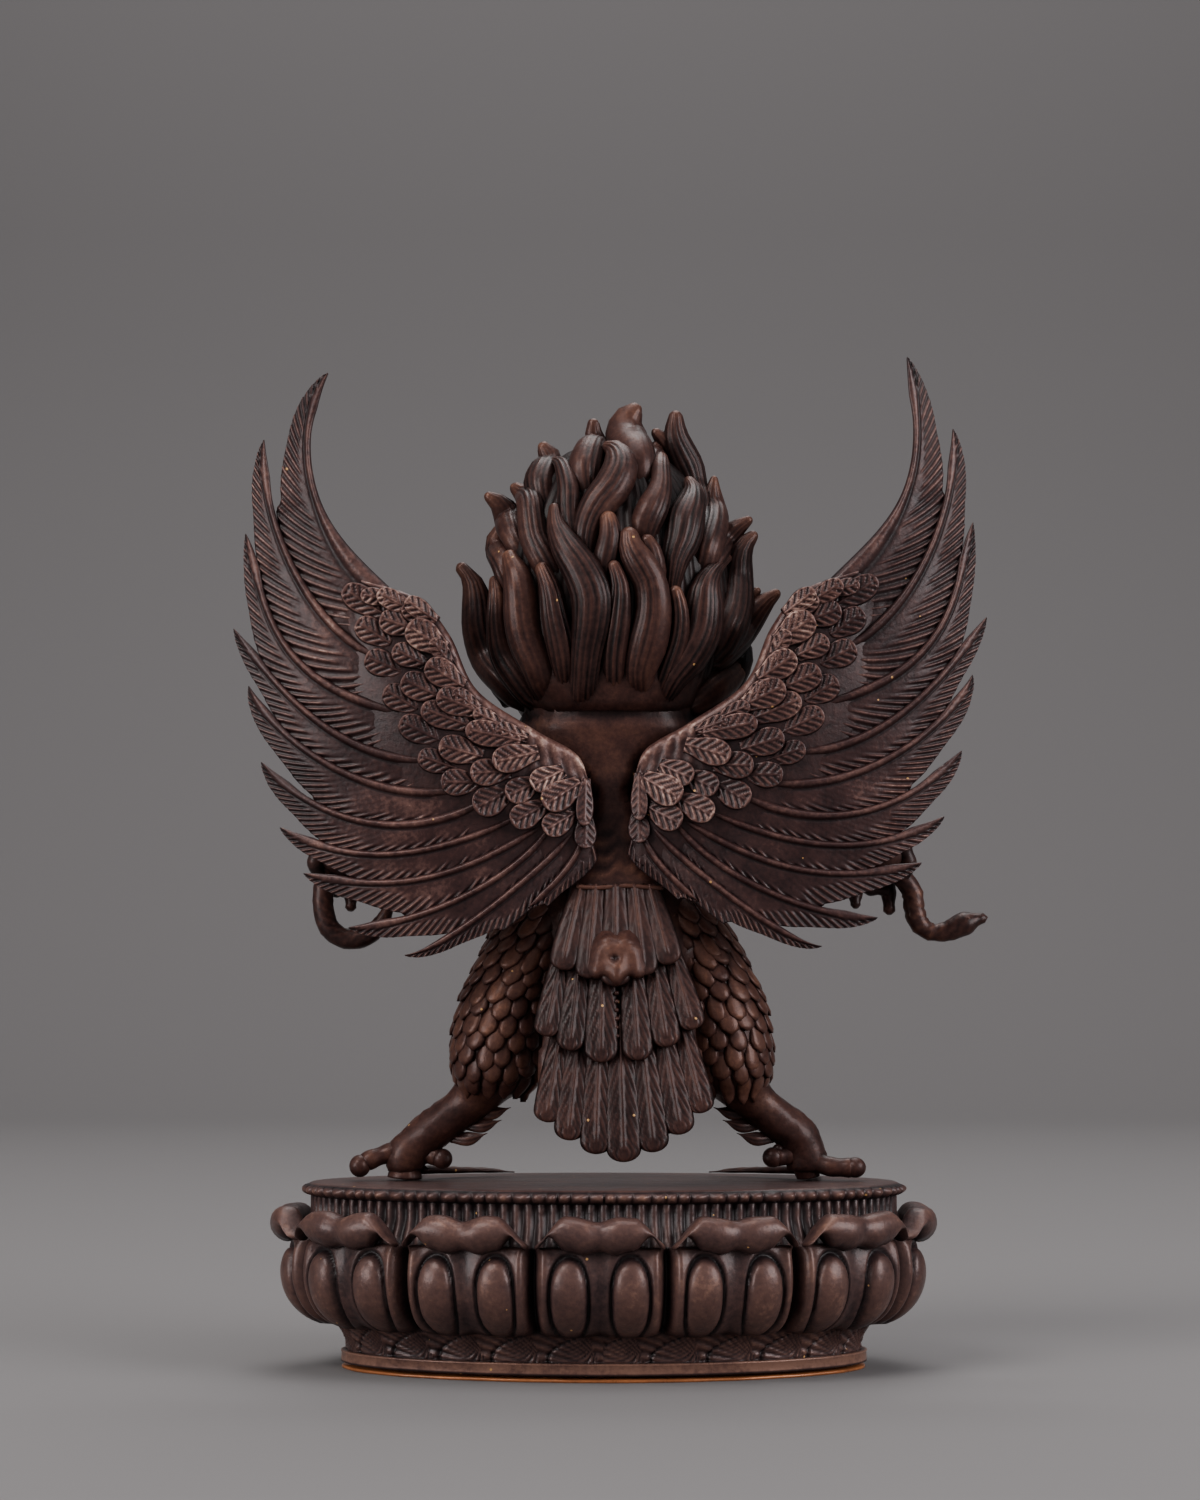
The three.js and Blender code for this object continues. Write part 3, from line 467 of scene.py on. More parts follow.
def petal_lip(shells, turn, seed):
    """The curled, two-humped tip of a petal: a pillow in the middle and an arm that droops at each side."""
    across, around = 58, 22
    s = np.linspace(-1, 1, across)[:, None]
    a = np.abs(s)
    top = 16.45 - 0.5 * pulse(s, 0, 0.2) - 2.7 * smooth((a - 0.52) / 0.48) + 0.08 * np.sin(9 * s + seed)
    low = 12.75 + 0.16 * np.cos(s * TAU * 2.1) * (a < 0.6)
    low = low + 1.7 * smooth((a - 0.48) / 0.3) - 1.5 * smooth((a - 0.78) / 0.22)
    low = np.minimum(low, top - 0.35)
    full = arch(a, 2.2)
    reach = lerp(2.5, 4.35, full**0.6) - 0.35 * pulse(s, 0, 0.16)
    inner = lerp(1.9, 0.9, full)
    angle = np.arange(around)[None] / around * TAU
    c, d = np.cos(angle), np.sin(angle)
    size = superellipse(c, d, 2.5)
    narrow = np.clip((1 - a) / 0.06, 0.12, 1) ** 0.5
    out = (reach + inner) / 2 + (reach - inner) / 2 * size * c * narrow
    tuck = 0.5 * smooth(-d) * full
    z = (top + low) / 2 + (top - low) / 2 * size * d * narrow
    where = turn + (s + 0 * c) * 6.3 / PLAN_LENGTH
    front = smooth(c * 2)
    # Painted light and shade: the lip is lighter on its outer face and top, and darker in the middle notch
    # and on its underside.
    wear = 0.34 + 0.24 * front + 0.12 * smooth(d * 1.4)
    wear = wear - 0.12 * pulse(s, 0, 0.1) * (d > 0.2) - 0.25 * smooth(-d * 1.5 - 0.6)
    shells.grid(on_plan(where, out - tuck * (c > 0), z), np.clip(wear + 0 * out, 0, 1))


def lotus_base():
    shells = Shells()
    pedestal_body(shells)
    for i in range(PETALS):
        petal_lip(shells, i / PETALS + PETAL_TURN, i)
    return shells


def base_plate():
    """The thin sheet under the foot, with a slightly uneven edge."""
    shells = Shells()
    around = 420
    turn = np.arange(around) / around
    arc = turn * PLAN_LENGTH
    edge = -3.62 + 0.1 * np.sin(arc * 0.16 + 1) + 0.05 * np.sin(arc * 0.9)
    rows = []
    for outset, z in SHEET_PROFILE:
        lift = 0.02 * np.sin(arc * 0.31) if z > 0.2 else 0 * arc
        rows.append(on_plan(turn, edge + outset, z - PEDESTAL_Z + np.minimum(lift, 0.0)))
    shells.grid(np.stack(rows), 0.5)
    return shells


# Figure, laid out from the middle of its soles
def level(z, x, y, width, depth):
    return [z + FIGURE_Z, x + FIGURE_X, y, width, depth]


def limb(shells, points, radii, count, sides):
    """A round limb with a radius at its start, middle and end."""
    radius = tapers((0, radii[0]), (0.5, radii[1]), (1, radii[2]))
    rounded = lambda t: radius(t) * np.sqrt(np.clip((1.001 - t) * 12, 0.05, 1))
    tube(shells, Line(figs(points)), count, sides, rounded, rounded, (0, -1, 0))


# Down the thigh: height, how far out its middle lies, half width
THIGH = Line([
    (31.5, 5.2, 4.2), (29, 6.4, 5.0), (26, 7.9, 5.2), (22.5, 9.7, 5.1), (19, 11.1, 5.2), (14, 12.0, 5.2),
    (10.5, 12.3, 4.5), (8.8, 12.6, 3.0),
])
SCALE_TIERS, SCALE_TOP, SCALE_STEP, SCALE_PITCH = 12, 29.6, 1.72, 2.3


def thigh_point(side, angle, z, out):
    """Points round a thigh, at an angle, a height and a distance out of its surface."""
    z = np.asarray(z, float)
    order = THIGH.p[::-1]
    middle, half = np.interp(z, order[:, 0], order[:, 1]), np.interp(z, order[:, 0], order[:, 2])
    x = side * middle + FIGURE_X + (half + out) * np.cos(angle)
    y = 0.3 + (half * 1.12 + out) * np.sin(angle)
    return np.stack(np.broadcast_arrays(x, y, z + FIGURE_Z), -1)


def thigh_scales(shells, side):
    """Rows of small rounded feathers that overlap downwards."""
    rows, columns = 6, 7
    v = np.linspace(0, 1, rows)[:, None] ** 0.85
    u = np.linspace(-1, 1, columns)[None]
    for row in range(SCALE_TIERS):
        z0 = SCALE_TOP - SCALE_STEP * row
        half = np.interp(z0, THIGH.p[::-1, 0], THIGH.p[::-1, 2])
        count = int(round(TAU * half * 1.06 / SCALE_PITCH))
        for k in range(count):
            luck, other = chance(row, k, side), chance(k, row, side + 3)
            angle = (k + 0.5 * (row % 2) + 0.3 * (luck - 0.5)) / count * TAU
            length = lerp(2.9, 3.6, luck)
            wide = lerp(1.05, 1.22, other)
            tip = np.clip((v - 0.6) / 0.4, 0, 0.995)
            span = wide * np.where(v < 0.6, lerp(0.7, 1, smooth(v / 0.6)), np.sqrt(1 - tip**2)) / half
            z = z0 + 1.0 + 0.5 * (other - 0.5) - length * v
            dome = arch(u, 2.4) * np.sqrt(1 - tip**4)
            height = lerp(-0.3, 0.42, v) + 0.24 * dome + 0.12 * (other - 0.5)
            front = thigh_point(side, angle + u * span, z + 0 * u, height)
            inner = slice(1, None, 2)
            back_angle, back_height = under(angle + u * span * 0.9, inner), under(height, inner) - 0.6
            back = thigh_point(side, back_angle, z + 0 * u[:, inner], back_height)
            # Each scale is lighter on its dome and towards its tip, from wear and painted light, and its
            # hidden back is dark as painted shade.
            worn_and_shaded = 0.42 + 0.15 * dome + 0.12 * v + 0.16 * (luck - 0.5)
            shells.flake(front, back, worn_and_shaded, 0.15)


def spurs(shells, side):
    """Three pointed feathers behind a shank."""
    for x, z in ((10.9, 7.55), (11.9, 6.2), (13.4, 4.8)):
        path = mirrored(side, [(x + 3.9, 0.8, z - 0.5), (x + 2.0, 0.2, z - 0.62), (x, -0.2, z)])
        width = tapers((0, 0.55), (0.45, 0.72), (1, 0.04))
        # Each spur is lighter and ribbed on the side towards the figure's back and top, as painted light, and
        # darker on the other side, as painted shade.
        relief = lambda along, c, sn, t: (
            0.07 * np.cos(c * 7) * (sn > 0) * smooth((0.9 - t) / 0.2),
            0.36 + 0.12 * np.clip(sn, 0, 1) + 0.16 * np.cos(c * 7) * (sn > 0),
        )
        tube(shells, Line(figs(path)), 18, 18, width, lambda t: width(t) * 0.6, (0, -1, 0.2), relief)


def leg(shells, side):
    """A bare shank and the ankle it ends in."""
    shank = [(12.6, 0.4, 12), (14.6, 0.5, 9), (17.2, 0.9, 6.7), (19.8, 1.3, 4.8), (21.4, 1.6, 3.1)]
    limb(shells, mirrored(side, shank), (3.3, 2.25, 2.3), 24, 22)
    end = 22.2 if side < 0 else 21.0
    ankle = [(20.9, 1.5, 3.6), (end, 1.7, 2.6), (end, 1.8, 0.4)]
    limb(shells, mirrored(side, ankle), (2.1, 2.35, 2.2), 14, 22)


# The three claws under the front of each foot
CLAWS = [
    [(20.8, 2.2, 0.8), (17.4, 6.5, 0.55), (13.8, 9, 0.4), (10.8, 9.8, 0.15)],
    [(21.2, 2.2, 0.8), (21.8, 7, 0.55), (21.6, 10.6, 0.4), (21, 12.4, 0.15)],
    [(21.4, 2.6, 0.7), (22.2, 6, 0.5), (22.6, 8.6, 0.35), (22.6, 10.2, 0.15)],
]


def toes(shells, side):
    """The ankle's column, an outer and an inner toe with round ends, and three claws."""
    rounded = lambda size: lambda t: size(t) * np.sqrt(np.clip(1.002 - t, 0, 1) * 9).clip(0, 1)

    # The toes' knuckle rings are lighter, and each toe is lighter on the side towards the figure's back and
    # darker on the other, as painted light and shade.
    def knuckles(along, c, sn, t):
        rings = np.cos(along * 3.4)
        return 0.03 * rings * (sn > -0.3), 0.46 + 0.1 * sn + 0.08 * rings

    def toe(points, count, sides, width, depth=None, face=(0, -1, 0)):
        line = Line(figs(mirrored(side, points)))
        tube(shells, line, count, sides, width, depth or width, face, knuckles)

    if side < 0:
        column, foot_half = [(22.1, 1.6, 2.6), (22.3, 1.7, 1.4), (22.4, 1.8, 0.0)], 1.9
        outer = [(20.8, 1.6, 3.7), (22.6, 1.5, 3.0), (24.4, 1.25, 2.5), (26.1, 0.9, 1.9), (27.1, 0.65, 1.3)]
        thick = rounded(tapers((0, 1.3), (0.35, 1.2), (0.65, 1.0), (0.85, 1.05), (1, 1.1)))
        stub, bulb, bulb_size = (18.3, 0.6, 2.05), (27.15, 0.6, 1.28), (1.15, 1.15, 1.2)
    else:
        column, foot_half = [(20.8, 1.6, 2.2), (21.0, 1.7, 1.3), (21.2, 1.8, 0.0)], 1.25
        outer = [(20.4, 1.4, 2.6), (22.0, 0.9, 1.7), (23.6, 0.4, 1.2), (25.2, 0.2, 1.12), (26.3, 0.1, 1.12)]
        thick = rounded(tapers((0, 1.3), (0.4, 1.08), (0.7, 1.02), (1, 1.08)))
        stub, bulb, bulb_size = (17.3, 0.5, 2.2), (26.1, 0.1, 1.14), (1.2, 1.1, 1.1)
    toe(column, 14, 26, tapers((0, 1.2), (0.5, 1.5), (1, foot_half)))
    toe(outer, 30, 22, thick)
    ball(shells, fig(side * bulb[0], *bulb[1:]), bulb_size, 16, 24, 0.5)
    short = rounded(tapers((0, 1.5), (0.5, 1.06), (1, 1.04)))
    toe([(20.9, 1.5, 2.7), (19.4, 1.1, 2.45), stub], 16, 18, short)
    ball(shells, fig(side * stub[0], *stub[1:]), (1.12, 1.05, 1.1), 14, 20, 0.48)
    if side > 0:
        ball(shells, fig(17.9, 0.5, 3.15), (0.62, 0.6, 0.5), 10, 14, 0.5)
        ball(shells, fig(18.8, 0.6, 3.4), (0.55, 0.55, 0.45), 10, 14, 0.5)
    size = tapers((0, 1.0), (0.3, 0.8), (0.75, 0.6), (1, 0.12))
    for claw in CLAWS:
        toe(claw, 24, 14, size, lambda t: size(t) * 0.5, (0, 0, 1))


# An arm held out, and the arm with two bracelets and an armlet, each with its radii, rings and sides
ARM = [(8, 0.4, 46), (15, -0.6, 44.4), (20.5, -0.4, 41.4), (26, 2, 38.2), (30.4, 3.6, 36)]
ARM_PARTS = [
    (ARM, (3.3, 2.6, 1.8), 30, 22),
    ([(26.7, 2.3, 37.8), (27.4, 2.6, 37.4)], (2.3, 2.4, 2.3), 6, 22),
    ([(27.9, 2.8, 37.1), (28.4, 3.0, 36.9)], (2.2, 2.3, 2.2), 6, 22),
    ([(14.2, -0.5, 44.6), (15, -0.6, 44.4)], (3.2, 3.3, 3.2), 6, 22),
]


def arm(shells, side):
    """An arm with its rings and the ball of the hand."""
    for points, radii, count, sides in ARM_PARTS:
        limb(shells, mirrored(side, points), radii, count, sides)
    ball(shells, fig(side * 30, 3.4, 35.2), (2.9, 2.4, 2.7))


def fingers(shells, side):
    """Three fingers and a thumb closed over the snake."""
    size = tapers((0, 1.0), (0.4, 0.92), (0.8, 0.78), (0.95, 0.62), (1, 0.25))

    def knuckles(along, c, sn, t):
        rings = np.cos(along * 3.1)
        return 0.08 * rings, 0.3 + 0.1 * rings + 0.15 * smooth((t - 0.7) / 0.2)

    def digit(points, count):
        tube(shells, Line(figs(mirrored(side, points))), count, 14, size, size, (0, -1, 0), knuckles)

    tips = ((26.8, 29.2), (30.5, 28.5)) if side > 0 else ((25.6, 31.0), (28.7, 28.9))
    for x, low in tips + ((28.5, 31.2),):
        digit([(x + 1.2, 4.8, 36.4), (x + 0.2, 5.6, 34), (x + 0.05, 5.2, 31.8), (x, 4.2, low)], 24)
    palm = mirrored(side, [(26.9, 4.6, 31.7), (28.7, 4.9, 31.3), (30.7, 4.6, 31.1)])
    palm_width = lambda t: 0.7 + 0.12 * np.cos(t * 14)
    tube(shells, Line(figs(palm)), 16, 14, palm_width, even(0.8), (0, -1, 0), wear=0.3)
    digit([(31.8, 2.2, 36), (32.4, 2.4, 33.8), (31.6, 3, 32)], 18)


# From the curled tail at the left hand, over the front, to the head beyond the right hand
SNAKE = [
    (-24.4, 3.2, 30.4), (-24.7, 3.2, 28.6), (-25.9, 3.2, 26.8), (-27.4, 3.2, 25.9), (-29.2, 3.2, 25.8),
    (-30.8, 3.2, 26.8), (-31.5, 3.2, 28.5), (-31.6, 3.2, 31.2), (-30.4, 4.4, 36.5), (-26, 7.8, 40.5),
    (-16, 11.4, 42.4), (-7, 14.4, 47.4), (-2.4, 15.6, 52.6), (0, 15.8, 53.6), (2.4, 15.6, 52.6),
    (7, 14.4, 47.4), (16, 11.4, 42.4), (26, 7.8, 40.5), (30.2, 4.4, 36.5), (31.6, 3.4, 33),
    (32.9, 3.2, 30.9), (33.15, 3.2, 28.9), (33.7, 3.2, 27.4), (35.0, 3.2, 26.5), (36.7, 3.2, 26.6),
    (38.3, 3.2, 27.3), (40.0, 3.2, 27.9), (41.2, 3.2, 28.15),
]


def snake(shells):
    """The snake with its scales, the rings of its neck and its eyes."""
    line = Line(figs(SNAKE))
    from_nose = tapers((0, 0.5), (0.9, 0.66), (2.6, 1.36), (4.2, 1.25), (6, 0.98), (9, 1.16), (300, 1.16))

    def radius(t):
        left = (1 - t) * line.length
        return from_nose(left) * lerp(0.5, 1, smooth(t / 0.05)) * np.sqrt(np.clip(left / 0.35, 0, 1))

    def relief(along, c, s, t):
        left = (1 - t) * line.length
        a = np.arctan2(s, c)
        scales = np.abs(np.sin(along * 2.1 + a * 3)) * np.abs(np.sin(along * 2.1 - a * 3))
        ribs = wave(along * 5.2)
        on_neck = smooth((left - 4.4) / 0.5) * smooth((13 - left) / 1.5)
        height = 0.1 * (scales - 0.4) * (1 - on_neck) + 0.14 * (ribs - 0.5) * on_neck
        behind_head = smooth((left - 3.4) / 0.6)
        return height * behind_head, 0.32 + 0.3 * scales + 0.2 * on_neck * ribs

    tube(shells, line, 260, 14, radius, lambda t: radius(t) * 0.92, (0, -0.8, 0.6), relief)
    for side in (-1, 1):
        ball(shells, fig(38.9, 3.2 + 0.85 * side, 27.9), (0.32, 0.28, 0.28), 6, 10, 0.7)


def tail_y(z):
    """Where the tail's middle surface lies at a height."""
    return lerp(-11.6, -6.6, smooth(z / 32))


def tail_point(x, z, out):
    x, z, out = np.broadcast_arrays(x, z, out)
    return np.stack([x + FIGURE_X, tail_y(z) - out, z + FIGURE_Z], -1)


# Each tier of the tail: how far it stands out at its roots and ends, then its feathers.
# Each feather: root, end, width and how high it lies over its neighbours.
TAIL = [
    (0.3, 0.75, [
        ((-5.0, 17.5), (-6.9, 6.35), 2.8, 0), ((-3.2, 17.5), (-4.6, 4.5), 3.0, 1),
        ((-1.3, 17.5), (-1.75, 3.1), 3.1, 2), ((0.75, 17.5), (1.2, 2.3), 3.4, 3),
        ((2.8, 17.5), (4.3, 3.3), 3.1, 2), ((4.9, 17.5), (7.1, 5.1), 3.0, 1),
        ((6.9, 17.5), (9.4, 7.3), 2.7, 0),
    ]),
    (0.8, 1.6, [
        ((-5.0, 25), (-7.0, 15.2), 2.7, 0), ((-3.2, 25), (-4.45, 13.7), 2.9, 1),
        ((-1.0, 25), (-1.2, 12.5), 3.3, 2), ((1.9, 25), (2.7, 12.7), 3.0, 2),
        ((4.0, 25), (5.75, 14.1), 2.9, 1), ((6.0, 25), (8.5, 15.9), 2.7, 0),
    ]),
    (1.0, 2.3, [
        ((-3.3, 31.2), (-5.3, 22.1), 2.9, 0), ((-1.7, 31.2), (-2.55, 21.2), 2.8, 1),
        ((3.9, 31.2), (6.1, 22.7), 2.8, 0), ((2.3, 31.2), (3.4, 21.5), 2.9, 1),
        ((0.35, 31.2), (0.35, 20.4), 3.2, 2),
    ]),
]


def over_tail(shells, x, z, height, depth, inner, wear):
    """A closed body on the tail: a front at a height, and a plainer back that lies deeper."""
    x, z, height, low = np.broadcast_arrays(x, z, height, height - depth)
    back = [under(v, inner) for v in (x, z, low)]
    shells.flake(tail_point(x, z, height), tail_point(*back), wear, 0.2)


def tail_feather(shells, root, end, width, order, first, last):
    """A flat feather with a rounded end, a shaft and steep barbs that fan out over the end."""
    root, end = np.array(root, float), np.array(end, float)
    length = np.linalg.norm(end - root)
    along = (end - root) / length
    aside = np.array([-along[1], along[0]])
    cap = width * 0.5
    body = np.arange(0, length - cap, 0.42)
    s = np.concatenate([body, length - cap + cap * np.sin(np.linspace(0.12, math.pi / 2, 8))])[:, None]
    u = np.linspace(-1, 1, 21)[None]
    t = s / length
    over = np.clip((s - (length - cap)) / cap, 0, 0.9995)
    half = width * 0.54 * lerp(0.7, 1, smooth(t * 1.25)) * (1 - over**2.6) ** 0.5
    a = u * half
    pitch = 0.55  # of the barbs
    lean = np.where(s < length - cap * 1.4, 1.0, 1 - smooth((s - (length - cap * 1.4)) / cap))
    phase = (np.abs(a) + (length - s) * 0.33) / pitch * lean + (1 - lean) * np.abs(u) * width / 2 / pitch
    crest = wave(TAU * phase)
    side_luck = chances(np.floor(phase) * 12.9 + root[0] * 9.1)
    edge = smooth((1 - np.abs(u)) / 0.12)
    plain = 0.3 if root[1] > 29 else 1.0
    field = plain * edge * smooth((np.abs(a) - 0.2) / 0.2) * (0.5 + 0.5 * side_luck)
    field = field * smooth((length - s) / 0.25)
    shaft = pulse(a, 0, 0.17) * smooth((length - s - 0.9) / 0.8)
    dome = arch(u, 5) * np.sqrt(1 - over**4) + 0.4 * (1 - u * u)
    lift = lerp(first, last, smooth(t)) + 0.24 * order
    height = lift - 0.4 + 0.42 * dome + 0.24 * shaft + 0.2 * (crest - 0.5) * field
    # The shaft and barb crests are lighter and the end lighter from wear, and the feather's edges are painted
    # dark as shade in the gaps between feathers.
    wear = 0.35 + (0.24 if plain < 1 else 0.16) * shaft + 0.36 * (crest - 0.5) * field
    wear = wear + 0.12 * over - 0.4 * (1 - edge)
    x = root[0] + along[0] * s + aside[0] * a
    z = root[1] + along[1] * s + aside[1] * a
    over_tail(shells, x, z, height, lerp(1.5, 1.0, t), slice(2, -2, 7), wear)


def tail_boss(shells):
    """The smooth swelling over the middle feathers of the top tier, with a pit and a lobed lower edge."""
    rows, columns = 34, 44
    v = np.linspace(0, 1, rows)[:, None]
    u = np.linspace(-1, 1, columns)[None]
    x = 0.45 + u * lerp(2.2, 3.3, smooth(v * 1.3))
    low = 20.3 + 1.2 * (1 - pulse(u, 0, 0.26)) - 0.35 * pulse(np.abs(u), 0.68, 0.2)
    low = low + 1.1 * smooth((np.abs(u) - 0.86) / 0.14)
    z = lerp(27.7 - 0.3 * u * u, low, v)
    dome = arch(u, 2.4) * smooth(v / 0.42) * arch(np.clip((v - 0.6) / 0.4, 0, 1), 3)
    ridges = 0.75 + 0.25 * pulse(u, 0, 0.26) + 0.12 * pulse(np.abs(u), 0.66, 0.16)
    height = lerp(0.7, 2.3, v) + 2.1 * dome * lerp(1.0, ridges, smooth((v - 0.45) / 0.3))
    pit = spot(x, z, (0.25, 23.3), (0.4, 0.32))
    wrinkles = 0.07 * np.sin(z * 7 + np.sin(u * 5)) * smooth((0.75 - np.abs(u)) / 0.2)
    height = height - 0.6 * pit + wrinkles * smooth((0.5 - v) / 0.1)
    # The swelling is lighter on its dome, from wear and a painted highlight, and dark in its pit as painted
    # shade.
    wear = 0.46 + 0.16 * dome - 0.45 * pit
    over_tail(shells, x, z, height, 1.9, slice(1, None, 6), wear)


def tail(shells):
    """Three tiers of feathers, the swelling, a row of small knobs and the cord over the roots."""
    for first, last, feathers in TAIL:
        for root, end, width, order in feathers:
            tail_feather(shells, root, end, width, order, first, last)
    tail_boss(shells)
    for i in range(6):
        z = lerp(19.7, 15.2, i / 5)
        place = tail_point(0.45 + 0.06 * math.sin(3 * i), z, 1.55)
        ball(shells, place, (0.26, 0.4, 0.26), 6, 8, 0.55)
    cord = [tail_point(x, 30.9 + 0.1 * math.sin(x), 1.45 - 0.02 * x * x) for x in np.linspace(-3.8, 5.4, 9)]
    tube(shells, Line(cord), 40, 10, even(0.26), even(0.26), (0, -1, 0), wear=0.7)


# Hair
HAIR_MIDDLE, HAIR_RADII = fig(0, 0.5, 61), np.array([13.6, 11.5, 16.5])
HAIR_TOP = 19.5  # its height above the middle
HAIR_FRONT = 9.3  # the depth of its front half
HAIR_CORE = 0.9  # the share of its size that is melted into the head
HAIR_HOLES = [(-3.9, 50.75), (-4.9, 47.8)]  # casting pits at the back of the neck
